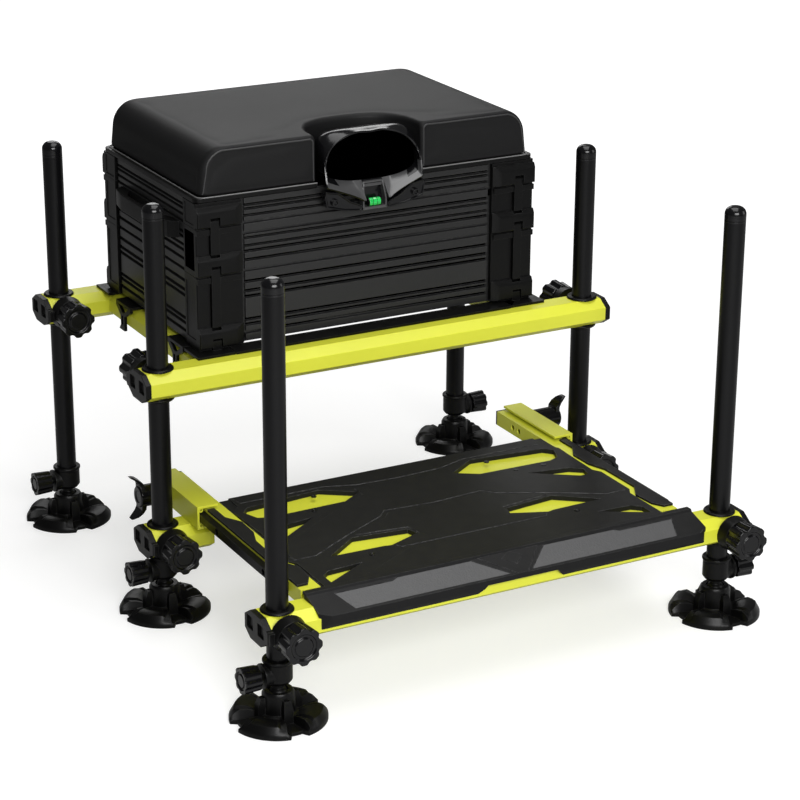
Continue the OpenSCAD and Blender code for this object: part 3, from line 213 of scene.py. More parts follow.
def grain_effect() -> Effect:
    """Fine moulded grain: small cells, with coarser bumps of noise under them."""
    effect = Effect("moulded_grain", Scale=900.0)
    scale = effect.given("Scale")
    coarse = effect.noise(effect.maths("MULTIPLY", scale, 0.55), 3.0, 0.6)
    cells = effect.node("TexVoronoi", {"Vector": effect.given("Place"), "Scale": scale, "Randomness": 1.0})
    return effect.gives("Height", effect.maths("ADD", coarse, cells.outputs["Distance"]))


def drift_effect() -> Effect:
    """Slow variation over a surface, from 0 to 1, for tone and roughness."""
    effect = Effect("slow_drift", Scale=9.0, Contrast=0.5)
    low, high = (effect.maths("MULTIPLY_ADD", effect.given("Contrast"), half, 0.5) for half in (-0.5, 0.5))
    noise = effect.noise(effect.given("Scale"), 4.0, 0.55)
    spread = effect.node("MapRange", {"Value": noise, "To Min": low, "To Max": high})
    return effect.gives("Drift", spread.outputs[0])


def edge_highlight_effect() -> Effect:
    """Painted highlight on sharp edges: a mask where a rounded normal leaves the flat one, broken up by noise.
    """
    effect = Effect("rubbed_edges", Radius=0.0012)
    bevel = effect.node("Bevel", {"Radius": effect.given("Radius")}, samples=4)
    normals = {0: bevel.outputs["Normal"], 1: effect.node("NewGeometry").outputs["Normal"]}
    dot = effect.node("VectorMath", normals, operation="DOT_PRODUCT")
    edge = effect.band(dot.outputs["Value"], 0.995, 0.86)
    patches = effect.band(effect.noise(140.0, 5.0), 0.35, 0.65)
    return effect.gives("Worn", effect.maths("MULTIPLY", edge, patches))


def dust_effect() -> Effect:
    """Faint dust that settles on what faces up."""
    effect = Effect("settled_dust")
    split = effect.node("SeparateXYZ", {0: effect.node("NewGeometry").outputs["Normal"]})
    facing = effect.band(split.outputs["Z"], 0.55, 1.0)
    return effect.gives("Dust", effect.maths("MULTIPLY", facing, effect.noise(60.0, 6.0)))


@dataclass(frozen=True)
class Finish:
    """One surface finish, as the values of its Principled shader and of the shared effects.

    Attributes:
        name: Name of the material.
        tone: Linear base colour.
        edge_highlight_tone: Linear colour of the painted highlight on sharp edges.
        gloss: Roughness, and how far it drifts.
        grain: Scale and bump strength of the grain.
        wear: Radius in millimetres and strength of the painted edge highlight.
        dust: Strength of the settled dust.
        metallic: Whether the surface is bare metal.
        specular: Specular level.
    """

    name: str
    tone: Triple
    edge_highlight_tone: Triple
    gloss: Pair
    grain: Pair
    wear: Pair
    dust: float = 0.0
    metallic: float = 0.0
    specular: float = 0.5

    def build(self, effects: dict[str, Effect]) -> Material:
        """Builds the material with its own Principled shader.

        Args:
            effects: The shared effects, by name.
        Returns:
            The material.
        """
        material, tree, shader = new_material(self.name)
        place = add_node(tree, "TexCoord").outputs["Object"]

        def effect(name: str, **values: float) -> Socket:
            """Output of a shared effect at the place on the piece."""
            node = tree.nodes.new("ShaderNodeGroup")
            node.node_tree = effects[name].tree
            return wire(tree, node, {"Place": place, **values}).outputs[0]

        def mix(mask: Socket, share: float, first: Socket | tuple, second: tuple) -> Socket:
            """Mixes two colours by a share of a mask."""
            if share < 1:
                mask = add_node(tree, "Math", {0: mask, 1: share}, operation="MULTIPLY").outputs[0]
            feeds = {"Factor": mask, 6: first, 7: second}
            return add_node(tree, "Mix", feeds, data_type="RGBA").outputs[2]

        drift = effect("drift")
        darker, lighter = ((*(min(1.0, share * c) for c in self.tone), 1.0) for share in TONE_DRIFT)
        base = mix(drift, 1.0, darker, lighter)
        # Painted highlight: sharp edges take the lighter highlight colour, broken up by noise.
        highlighted = mix(effect("wear", Radius=self.wear[0] * MM), self.wear[1], base, (*self.edge_highlight_tone, 1.0))
        dusty = mix(effect("dust"), self.dust, highlighted, DUST_TONE)
        low, high = self.gloss[0] - self.gloss[1], self.gloss[0] + self.gloss[1]
        rough = add_node(tree, "MapRange", {"Value": drift, "To Min": low, "To Max": high})
        height = effect("grain", Scale=self.grain[0])
        bump = add_node(tree, "Bump", {"Height": height, "Strength": self.grain[1], "Distance": BUMP_DEPTH})
        feeds = {"Base Color": dusty, "Roughness": rough.outputs[0], "Normal": bump.outputs["Normal"]}
        wire(tree, shader, {**feeds, "Metallic": self.metallic, "Specular IOR Level": self.specular})
        return material


def grey(level: float, blue: float | None = None) -> Triple:
    """A linear grey, with a level of blue of its own where it isn't neutral."""
    return level, level, level if blue is None else blue


def finish(name: str, tone: Triple, highlight_tone: Triple, values: Sequence[float], **others: float) -> Finish:
    """A finish from its roughness and drift, grain and bump, and the radius and strength of its painted edge
    highlight, in that order.
    """
    gloss, grain, wear = zip(values[::2], values[1::2])
    return Finish(name, tone, highlight_tone, gloss, grain, wear, **others)


# In each finish the second colour is the painted highlight on sharp edges.
COATED_TUBE = finish(
    "coated_tube", grey(0.003, 0.0034), grey(0.03, 0.032), (0.3, 0.04, 1500, 0.04, 0.8, 0.2), specular=0.22
)
LIME_PAINT = finish(
    "lime_paint", (0.68, 0.7, 0.042), (0.78, 0.8, 0.2), (0.38, 0.05, 650, 0.05, 1.2, 0.25), dust=0.02
)
TRAY_COAT = finish(
    "tray_coat", grey(0.013, 0.0132), grey(0.11, 0.112), (0.36, 0.06, 1100, 0.06, 0.9, 0.6),
    dust=0.01, specular=0.45,
)
MOULDED = finish(
    "moulded_black", grey(0.002), grey(0.05), (0.36, 0.07, 1000, 0.1, 1.0, 0.5), dust=0.01, specular=0.2
)
GLOSSY = finish(
    "glossy_black", grey(0.0035, 0.004), grey(0.03, 0.032), (0.18, 0.05, 700, 0.03, 0.7, 0.3), specular=0.35
)
DECK = finish(
    "deck_plastic", grey(0.0115, 0.0118), grey(0.17), (0.42, 0.07, 800, 0.1, 1.0, 0.8), dust=0.02, specular=0.1
)
INLAY = finish("toe_inlay", grey(0.062, 0.064), grey(0.2), (0.45, 0.1, 420, 0.4, 0.8, 0.5), dust=0.04)
COVER = finish(
    "seat_vinyl", grey(0.0075, 0.0078), grey(0.03), (0.52, 0.05, 1300, 0.14, 2.0, 0.1), dust=0.01, specular=0.17
)
# Painted shade: near-black with no shine, for the sheet that stands for the shade deep inside the hood.
HOOD_PAINTED_SHADE = finish("hood_lining", grey(0.0001), grey(0.0002), (0.95, 0.02, 900, 0.02, 0.5, 0.0), specular=0.0)
# The same gloss black, painted paler: a painted reflection on the wings and a painted highlight on the level's
# frame.
GLOSSY_PAINTED_HIGHLIGHT = finish("gloss_wing", grey(0.045, 0.046), grey(0.14), (0.32, 0.05, 700, 0.03, 0.7, 0.4), specular=0.8)
WELT = finish("seat_welt", grey(0.03, 0.031), grey(0.07), (0.38, 0.05, 1500, 0.08, 0.5, 0.3))
# Painted highlight: a pale grey for the tube that stands for the highlight on the lid's rim.
LID_RIM_PAINTED_HIGHLIGHT = finish("lid_bead", grey(0.16), grey(0.3), (0.3, 0.04, 900, 0.03, 0.5, 0.2))
STEEL = finish(
    "blackened_steel", grey(0.05, 0.052), grey(0.25), (0.35, 0.08, 600, 0.05, 0.4, 0.5), metallic=1.0
)


class Palette:
    """All materials: those of the finishes, built on first use, and those of the level."""

    def __init__(self) -> None:
        self.effects = {
            "grain": grain_effect(), "drift": drift_effect(), "wear": edge_highlight_effect(), "dust": dust_effect()
        }
        self.materials: dict[str, Material] = {}
        self.vial = self._vial()
        self.bubble = self._bubble()

    def of(self, finish: Finish) -> Material:
        """The material of a finish."""
        if finish.name not in self.materials:
            self.materials[finish.name] = finish.build(self.effects)
        return self.materials[finish.name]

    @staticmethod
    def _vial() -> Material:
        """Green spirit in a clear tube, with a painted glow."""
        material, tree, shader = new_material("green_spirit")
        place = add_node(tree, "TexCoord").outputs["Object"]
        noise = add_node(tree, "TexNoise", {"Vector": place, "Scale": 220.0, "Detail": 2.0})
        tint = ramp(tree, noise.outputs["Fac"], (0.0, 0.22, 0.03), (0.03, 0.62, 0.12))
        # Painted glow: the spirit emits its own green, though it is no lamp.
        glow = {"Emission Color": tint, "Emission Strength": 0.25}
        wire(tree, shader, {"Base Color": tint, "Roughness": 0.12, "Coat Weight": 0.6, **glow})
        return material

    @staticmethod
    def _bubble() -> Material:
        """Bubble under the top of the vial, with painted shading by its angle to the camera."""
        material, tree, shader = new_material("spirit_bubble")
        # Painted shading: pale green where the bubble faces the camera, dark green towards its outline.
        rim = add_node(tree, "LayerWeight", {"Blend": 0.35}).outputs["Facing"]
        tint = ramp(tree, rim, (0.5, 0.85, 0.55), (0.02, 0.35, 0.07))
        wire(tree, shader, {"Base Color": tint, "Roughness": 0.08})
        return material


class Bench:
    """One piece on the bench, shaped with edit-mode operators and finished with modifiers."""

    def __init__(self, name: str, piece: Piece | None = None) -> None:
        self.name = name
        self.piece = piece

    def _add(self, kind: str, **settings: object) -> None:
        """Adds a primitive that alone is selected, and opens the piece if it is the first."""
        if self.piece is None:
            bpy.ops.object.select_all(action="DESELECT")
        else:
            bpy.ops.mesh.select_all(action="DESELECT")
        getattr(bpy.ops.mesh, f"primitive_{kind}_add")(**settings)
        if self.piece is None:
            self.piece = bpy.context.active_object
            self.piece.name = self.name
            bpy.ops.object.transform_apply(location=True, rotation=True, scale=True)
            self.reopen()

    def cylinder(self, radius: float, low: float, high: float, sides: int) -> None:
        """Adds an upright cylinder about the origin, in millimetres, from a low to a high height."""
        place = Vector((0, 0, (low + high) / 2)) * MM
        self._add("cylinder", vertices=sides, radius=radius * MM, depth=(high - low) * MM, location=place)

    def cube(self, low: Sequence[float], high: Sequence[float]) -> None:
        """Adds a box, in millimetres, from its low to its high corner."""
        a, b = Vector(low), Vector(high)
        self._add("cube", size=1, location=(a + b) / 2 * MM, scale=(b - a) * MM)

    def ball(self, radius: float, rings: int) -> None:
        """Adds a sphere about the origin, in millimetres."""
        self._add("uv_sphere", segments=rings * 2, ring_count=rings, radius=radius * MM, location=(0, 0, 0))

    def _pick(self, kind: str, parts: str, test: Callable[[object], bool]) -> None:
        """Selects the vertices, edges or faces that pass."""
        bpy.ops.mesh.select_all(action="DESELECT")
        bpy.ops.mesh.select_mode(type=kind)
        mesh = bmesh.from_edit_mesh(self.piece.data)
        for part in getattr(mesh, parts):
            part.select_set(test(part))
        if kind == "VERT":
            mesh.select_flush_mode()
        bmesh.update_edit_mesh(self.piece.data)

    def faces(self, test: Test) -> None:
        """Selects the faces whose centre, in millimetres, and normal pass."""
        self._pick("FACE", "faces", lambda face: test(face.calc_center_median() / MM, face.normal))

    def edges(self, test: Test) -> None:
        """Selects the edges whose two ends, in millimetres, pass."""
        self._pick("EDGE", "edges", lambda edge: test(*(point.co / MM for point in edge.verts)))

    def points(self, test: Callable[[Vector], bool]) -> None:
        """Selects the vertices whose place, in millimetres, passes."""
        self._pick("VERT", "verts", lambda point: test(point.co / MM))

    def inset(self, width: float, depth: float = 0.0) -> None:
        """Insets the selected faces and sinks or raises them, in millimetres."""
        bpy.ops.mesh.inset(thickness=width * MM, depth=depth * MM, use_even_offset=True)

    def extrude(self, along: Sequence[float]) -> None:
        """Extrudes what is selected, in millimetres."""
        bpy.ops.mesh.extrude_region_move(TRANSFORM_OT_translate={"value": Vector(along) * MM})

    def move(self, by: Sequence[float]) -> None:
        """Moves what is selected, in millimetres."""
        bpy.ops.transform.translate(value=Vector(by) * MM)

    def scale(self, by: Sequence[float], about: Sequence[float] = (0, 0, 0)) -> None:
        """Scales what is selected about a place in millimetres."""
        bpy.ops.transform.resize(value=by, center_override=Vector(about) * MM)

    def bevel(self, width: float, steps: int) -> None:
        """Rounds the selected edges, in millimetres."""
        bpy.ops.mesh.bevel(offset=width * MM, segments=steps, profile=0.5, clamp_overlap=True)

    def loft(self, rings: Sequence[Sequence[Vector]]) -> None:
        """Adds a closed face and extrudes it ring by ring into a body with flat ends, in millimetres."""
        self._add("circle", vertices=len(rings[0]), radius=1, fill_type="NGON")
        bpy.ops.mesh.select_mode(type="VERT")
        bpy.ops.mesh.select_all(action="SELECT")
        self._place(None, rings[0])
        for before, ring in zip(rings, rings[1:]):
            bpy.ops.mesh.extrude_region_move()
            self._place(before, ring)
        bpy.ops.mesh.select_all(action="SELECT")
        bpy.ops.mesh.normals_make_consistent(inside=False)

    def _place(self, before: Sequence[Vector] | None, ring: Sequence[Vector]) -> None:
        """Moves the selected points, in their order or from their places in the ring before, to a ring."""
        mesh = bmesh.from_edit_mesh(self.piece.data)
        picked = [point for point in mesh.verts if point.select]
        for order, point in enumerate(picked):
            if before is not None:
                order = min(range(len(ring)), key=lambda i: (before[i] * MM - point.co).length_squared)
            point.co = ring[order] * MM
        bmesh.update_edit_mesh(self.piece.data)

    def open_end(self) -> None:
        """Deletes the flat end of a loft that lies further to the front."""
        mesh = bmesh.from_edit_mesh(self.piece.data)
        corners = max(len(face.verts) for face in mesh.faces)
        front = min(face.calc_center_median().y for face in mesh.faces if len(face.verts) == corners)
        self._pick("FACE", "faces", lambda f: len(f.verts) == corners and f.calc_center_median().y == front)
        bpy.ops.mesh.delete(type="ONLY_FACE")

    def reopen(self) -> None:
        """Goes into edit mode on the piece, with nothing selected."""
        alone(self.piece)
        bpy.ops.object.mode_set(mode="EDIT")
        bpy.ops.mesh.select_all(action="DESELECT")

    def close(self) -> Piece:
        """Leaves edit mode and gives the piece back."""
        if self.piece.mode != "OBJECT":
            bpy.ops.object.mode_set(mode="OBJECT")
        return self.piece

    def modify(self, kind: str, **settings: object) -> None:
        """Adds a modifier with its settings and applies it, outside edit mode."""
        self.close()
        bpy.context.view_layer.objects.active = self.piece
        modifier = self.piece.modifiers.new(kind.title(), kind)
        for name, value in settings.items():
            setattr(modifier, name, value)
        bpy.ops.object.modifier_apply(modifier=modifier.name)

    def soften(self, width: float, angle: float, steps: int, **settings: object) -> None:
        """Rounds every edge sharper than an angle, in millimetres and degrees."""
        limit = {"limit_method": "ANGLE", "angle_limit": math.radians(angle)}
        self.modify("BEVEL", width=width * MM, segments=steps, **limit, **settings)

    def finish(
        self,
        rounding: Rounding | None = None,
        sharp: float = 40.0,
        flat: bool = True,
        place: Matrix | None = None,
    ) -> Piece:
        """Leaves edit mode, rounds the sharp edges, sets the piece in its place and shades it.

        Args:
            rounding: Radius in millimetres, least angle in degrees and steps of the rounding.
            sharp: Angle in degrees past which an edge is shaded sharp.
            flat: Whether large faces keep their own normal beside rounded edges.
            place: Where the piece goes.
        Returns:
            The finished piece.
        """
        self.close()
        if rounding:
            self.soften(*rounding)
        if place is not None:
            self.piece.data.transform(place)
        alone(self.piece)
        bpy.ops.object.shade_smooth_by_angle(angle=math.radians(sharp))
        if flat:
            self.modify("WEIGHTED_NORMAL", keep_sharp=True, weight=100)
        return self.piece


def alone(piece: Piece) -> None:
    """Makes one object the only selected and active one."""
    bpy.ops.object.select_all(action="DESELECT")
    piece.select_set(True)
    bpy.context.view_layer.objects.active = piece


def fit(piece: Piece, material: Material, body: str, node: str | None = None) -> Piece:
    """Gives a piece its one material, and lets it ride on a body.

    Args:
        piece: Finished piece.
        material: Its material.
        body: The body that it rides on.
        node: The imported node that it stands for, if it stands for one.
    Returns:
        The piece.
    """
    piece.data.materials.clear()
    piece.data.materials.append(material)
    if node:
        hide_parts(node)
        log.info("%s: %d faces", piece.name, len(piece.data.polygons))
    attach(piece, body)
    return piece


def copied(piece: Piece, name: str, place: Matrix) -> Piece:
    """Copies a piece with its own mesh, moved to its place.

    Args:
        piece: Finished piece, modelled about the origin.
        name: Name of the copy.
        place: Where the copy goes.
    Returns:
        The copy, with its place in its mesh.
    """
    copy = piece.copy()
    copy.data = piece.data.copy()
    copy.name = name
    copy.data.transform(place)
    bpy.context.collection.objects.link(copy)
    return copy


def scrap(piece: Piece) -> None:
    """Removes a piece that was only modelled to be copied."""
    bpy.data.objects.remove(piece)


def turned(place: Vector, facing: Vector) -> Matrix:
    """A placement that turns +Z to a direction and moves the origin to a place in millimetres."""
    return Matrix.Translation(place * MM) @ facing.to_track_quat("Z", "Y").to_matrix().to_4x4()


@dataclass(frozen=True)
class Dressing:
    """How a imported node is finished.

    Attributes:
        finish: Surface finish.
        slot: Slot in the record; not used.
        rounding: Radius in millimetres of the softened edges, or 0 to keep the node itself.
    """

    finish: Finish
    slot: Slot
    rounding: float


NODE_DRESSINGS: dict[str, Dressing] = {
    node: Dressing(finish, slot, rounding)
    for finish, slot, rounding, nodes in (
        (COATED_TUBE, Slot.LEG, 0.0, "leg_tube"),
        (LIME_PAINT, Slot.LIME, 0.5, "carrier_channels footplate_frame"),
        (LIME_PAINT, Slot.LIME, 0.6, "seat_frame_rails seat_side_rails"),
        (TRAY_COAT, Slot.TRAY, 0.25, "tray_deep_walls tray_middle_walls tray_top_walls"),
        (MOULDED, Slot.PLASTIC, 0.0, "foot_pad"),
        (MOULDED, Slot.PLASTIC, 0.4, "tray_deep_corners tray_middle_corners tray_top_corners"),
        (MOULDED, Slot.PLASTIC, 0.4, "base_brackets bolts"),
        (MOULDED, Slot.PLASTIC, 0.5, "foot_fitting"),
        (MOULDED, Slot.PLASTIC, 0.6, "carrier_clamps footplate_clamps frame_plastics seat_base"),
        (MOULDED, Slot.PLASTIC, 1.2, "carry_handles"),
        (GLOSSY, Slot.GLOSS, 0.0, "foot_knob clamp_knob wing_knob pole_rest level_vial"),
        (DECK, Slot.DECK, 0.4, "footplate_trims toe_bar"),
        (DECK, Slot.DECK, 0.5, "footplate_deck"),
        (COVER, Slot.COVER, 0.0, "seat_cushion"),
    )
    for node in nodes.split()
}


class PackedNodes:
    """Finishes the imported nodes: dresses them, or stands a copy with softened edges in for them.

    Attributes:
        merge: Distance in millimetres within which points of a node are one.
        level: Angle in degrees up to which neighbouring faces are one.
        round_from: Angle in degrees from which an edge is rounded.
        lower_edge: Height of the toe bar's lower edge, and how far it is lifted.
        panel_depth: Least and most depth of the sunk panels in the toe bar's slope.
    """

    merge, level, round_from = 0.002, 0.6, 32.0
    lower_edge = (11.0, 5.5)
    panel_depth = (0.4, 1.4)

    def __init__(self, frame: dict, palette: Palette) -> None:
        self.nodes: dict[str, Piece] = frame["nodes"]
        self.palette = palette

    def dress_all(self, replaced: Iterable[str]) -> None:
        """Dresses every node, and softens those that no new piece stands for."""
        taken = set(replaced)
        for name, node in sorted(self.nodes.items()):
            dressing = next(value for key, value in NODE_DRESSINGS.items() if name.startswith(key))
            node.data.materials.clear()
            node.data.materials.append(self.palette.of(dressing.finish))
            if name not in taken and dressing.rounding > 0:
                self._soften(name, node, dressing)
        log.info("packed nodes dressed: %d", len(self.nodes))

    def _soften(self, name: str, node: Piece, dressing: Dressing) -> None:
        """Stands a copy with rounded edges in for a node."""
        piece = copied(node, name + ".soft", Matrix())
        for key in list(piece.keys()):
            del piece[key]
        piece.parent = None
        alone(piece)
        if piece.data.has_custom_normals:
            bpy.ops.mesh.customdata_custom_splitnormals_clear()
        bench = Bench(piece.name, piece)
        bench.reopen()
        bpy.ops.mesh.select_all(action="SELECT")
        bpy.ops.mesh.remove_doubles(threshold=self.merge * MM)
        bpy.ops.mesh.dissolve_limited(angle_limit=math.radians(self.level))
        if name == "toe_bar":
            self._lift_lower_edge(bench)
        bpy.ops.mesh.select_all(action="DESELECT")
        corners = {"use_clamp_overlap": False, "miter_outer": "MITER_ARC"}
        bench.soften(dressing.rounding, self.round_from, 2, **corners)
        bench.finish()
        fit(piece, self.palette.of(dressing.finish), node["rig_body"], name)
        if name == "toe_bar":
            self._inlay(piece)

    def _lift_lower_edge(self, bench: Bench) -> None:
        """Lifts the lower front edge of the toe bar, so that the frame's beam shows under it."""
        band, lift = self.lower_edge
        edge = box_mm("toe_bar")[0].z + band
        bench.points(lambda p: p.z < edge)
        bench.move((0, 0, lift))

    def _inlay(self, piece: Piece) -> None:
        """Gives the sunk panels in the toe bar's slope their own paler, textured finish."""
        piece.data.materials.append(self.palette.of(INLAY))
        sloping = [f for f in piece.data.polygons if 0.85 < f.normal.z < 0.985 and f.normal.y < -0.15]
        main = max(sloping, key=lambda f: f.area).normal.copy()
        alike = [f for f in sloping if f.normal.dot(main) > 0.9995]
        end_block = max(alike, key=lambda f: max(abs(piece.data.vertices[i].co.x) for i in f.vertices))
        slope = main.dot(end_block.center)
        least, most = self.panel_depth
        for face in alike:
            if least * MM < slope - main.dot(face.center) < most * MM:
                face.material_index = 1


@dataclass(frozen=True)
class StarKnob:
    """Lobed knob with a sunk ring and a raised disc in its face, modelled upright about the origin.

    Attributes:
        radius: Outer radius over the lobes, in millimetres.
        length: Length of the head.
        stem: Radius and length of the screw behind the head.
        lobes: Number of lobes.
        per_lobe: Sides of the cylinder for each lobe.
        skirt: Share of the radius outside which the lobes are shaped.
        hollows: Share to draw in and half width, in lobes, of each step of the hollow between two lobes.
    """

    radius: float
    length: float
    stem: Pair
    lobes: int = 8
    per_lobe: int = 12
    skirt: float = 0.76
    hollows: tuple[Pair, ...] = ((0.965, 0.31), (0.945, 0.23), (0.955, 0.14))

    def model(self, name: str) -> Piece:
        """Models the knob with its back at zero and its face up.

        Args:
            name: Name of the piece.
        Returns:
            The finished piece.
        """
        bench = Bench(name)
        r = self.radius
        bench.cylinder(r, 0, self.length, self.lobes * self.per_lobe)
        bench.faces(up)
        for width, depth in ((0.3, 0), (0.05, -2.2), (0.15, 0), (0.04, 1.9)):
            bench.inset(r * width, depth)
        bench.faces(down)
        for width, depth in ((0.3, 0), (0.12, 1.2)):
            bench.inset(r * width, depth)
        step = math.tau / self.lobes
        for share, width in self.hollows:
            bench.points(
                lambda p: math.hypot(p.x, p.y) > r * self.skirt
                and abs((math.atan2(p.y, p.x) / step) % 1.0 - 0.5) < width
            )
            bench.scale((share, share, 1.0))
        bench.points(lambda p: abs(p.z) < 0.1 and math.hypot(p.x, p.y) > r * self.skirt)
        bench.scale((0.93, 0.93, 1.0))
        bench.soften(r * 0.075, 26, 3)
        bench.reopen()
        bench.cylinder(self.stem[0], -self.stem[1], 1.4, 32)
        return bench.finish()


@dataclass(frozen=True)
class WingKnob:
    """Knob with a round boss and a pair of swept wings, modelled upright about the origin.

    Attributes:
        boss: Radius of the boss, in millimetres.
        length: Length of the boss.
        span: Length over the wings, along Y.
        width: Width of a wing.
        thick: Thickness of a wing at its root.
        lift: How far the tips stand above the boss.
        root: Reach of a wing's root from the axis.
        sweep: Share of the half span and of the lift, and narrowing, at each step of a wing.
    """

    boss: float
    length: float
    span: float
    width: float
    thick: float
    lift: float
    root: float = 5.0
    sweep: tuple[Triple, ...] = ((0.55, 0.05, 0.98), (0.74, 0.28, 0.94), (0.9, 0.64, 0.84), (1.0, 1.0, 0.6))

    def model(self, name: str) -> Piece:
        """Models the knob with its boss from zero up and its wings on top.

        Args:
            name: Name of the piece.
        Returns:
            The finished piece.
        """
        bench = Bench(name)
        top, half, root = self.length, self.span / 2, self.root
        bench.cylinder(self.boss, 0, top, 48)
        bench.faces(up)
        for width, depth in ((0.12, 1.6), (0.3, 0), (0.08, -1.2)):
            bench.inset(self.boss * width, depth)
        bench.faces(down)
        bench.inset(self.boss * 0.2, 1.5)
        for side, _ in SIDES:
            ends = sorted((side * root, 0.0))
            bench.cube((-self.width / 2, ends[0], top - self.thick), (self.width / 2, ends[1], top - 0.2))
            bench.faces(lambda c, n: n.y * side > STRAIGHT and abs(c.y - side * root) < 0.1 and abs(c.x) < 0.1)
            reach, lift = root, 0.0
            for share, rise, narrow in self.sweep:
                bench.extrude((0, side * (half * share - reach), self.lift * rise - lift))
                reach, lift = half * share, self.lift * rise
                bench.scale((narrow, 1, 0.86), (0, side * reach, top - self.thick / 2 + lift))
        return bench.finish((1.5, 24, 3), 50)


@dataclass(frozen=True)
class FootPad:
    """Round pad of four creased petals round a split ball socket, modelled about the origin on the ground.

    Attributes:
        radius: Radius of the pad, in millimetres.
        rim: Height of the rim.
        shoulder: Height of the petals beside the socket.
        socket: Outer radius and height of the socket.
        mouth: Radius of the socket's mouth, and of its hollow.
        sides: Sides of the pad.
    """

    radius: float = 55.0
    rim: float = 7.0
    shoulder: float = 10.5
    socket: Pair = (19.0, 35.7)
    mouth: Pair = (11.2, 12.6)
    sides: int = 96

    def model(self, name: str) -> Piece:
        """Models the pad.

        Args:
            name: Name of the piece.
        Returns:
            The finished piece.
        """
        bench = Bench(name)
        reach, top = self.socket
        at, height = 0.0, self.rim * 0.6
        bench.cylinder(self.radius, 0, height, self.sides)
        bench.faces(up)
        for inwards, z in ((1.6, self.rim), (5.5, 11.4), (12.0, 13.4), (22.0, 12.4), (33.0, self.shoulder)):
            bench.inset(inwards - at, z - height)
            at, height = inwards, z
        bench.inset(self.radius - at - reach, 0.6)
        self._split_petals(bench)
        bench.faces(lambda c, n: n.z > 0.5 and math.hypot(c.x, c.y) < reach - 2)
        bench.extrude((0, 0, top - self.shoulder - 4.6))
        bench.scale((0.97, 0.97, 1))
        bench.inset(2.4, 4.0)
        bench.inset(reach * 0.97 - 2.4 - self.mouth[0])
        bench.extrude((0, 0, -4))
        bench.scale((self.mouth[1] / self.mouth[0],) * 2 + (1,))
        bench.extrude((0, 0, -9))
        bench.soften(0.9, 30, 2)
        bench.reopen()
        self._add_posts(bench)
        return bench.finish(sharp=32)

    def _split_petals(self, bench: Bench) -> None:
        """Sinks the gaps between the petals, notches the rim and raises two creases on each petal."""
        far, outer, rim, half = self.socket[0] + 1.5, self.radius * 0.8, self.radius * 0.9, self.radius * 0.5

        def pick(low: float, high: float, inner: float, edge: float, least: float = 5.0) -> None:
            """Selects points between two turns from the nearest axis, two radii, and over a height."""
            bench.points(
                lambda p: low < abs((math.degrees(math.atan2(p.y, p.x)) + 45) % 90 - 45) < high
                and inner < math.hypot(p.x, p.y) < edge
                and p.z > least
            )

        pick(-1, 12, far, math.inf)
        bench.scale((1, 1, 0.0), (0, 0, 4.4))
        pick(-1, 9, outer, math.inf, -math.inf)
        bench.scale((0.86, 0.86, 1.0))
        crease, root = (24, 90, outer * 0.72, rim, 2.6), (12, 90, far, half, -1.6)
        for *limits, lift in (crease, (13, 20, far, outer, 1.2), root):
            pick(*limits)
            bench.move((0, 0, lift))

    def _add_posts(self, bench: Bench) -> None:
        """Adds the four clip posts of the socket, in the gaps between the petals."""
        reach, top = self.socket
        for turn in range(4):
            spin = Matrix.Rotation(math.radians(90 * turn), 3, "Z")
            centre = spin @ Vector((reach + 3.0, 0, 0))
            half = Vector([abs(c) for c in spin @ Vector((4.6, 5.5, 0))])
            bench.cube(centre - half + Vector((0, 0, 3.5)), centre + half + Vector((0, 0, top - 15)))
            bench.faces(lambda c, n: up(c, n) and abs(c.z - top + 15) < 0.1 and (c.xy - centre.xy).length < 1)
            bench.extrude((-centre.x * 0.1, -centre.y * 0.1, 9.0))
            bench.scale((0.7, 0.7, 1.0), (centre.x * 0.9, centre.y * 0.9, top - 6))
            bench.inset(1.2)
            bench.extrude((0, 0, -2.0))


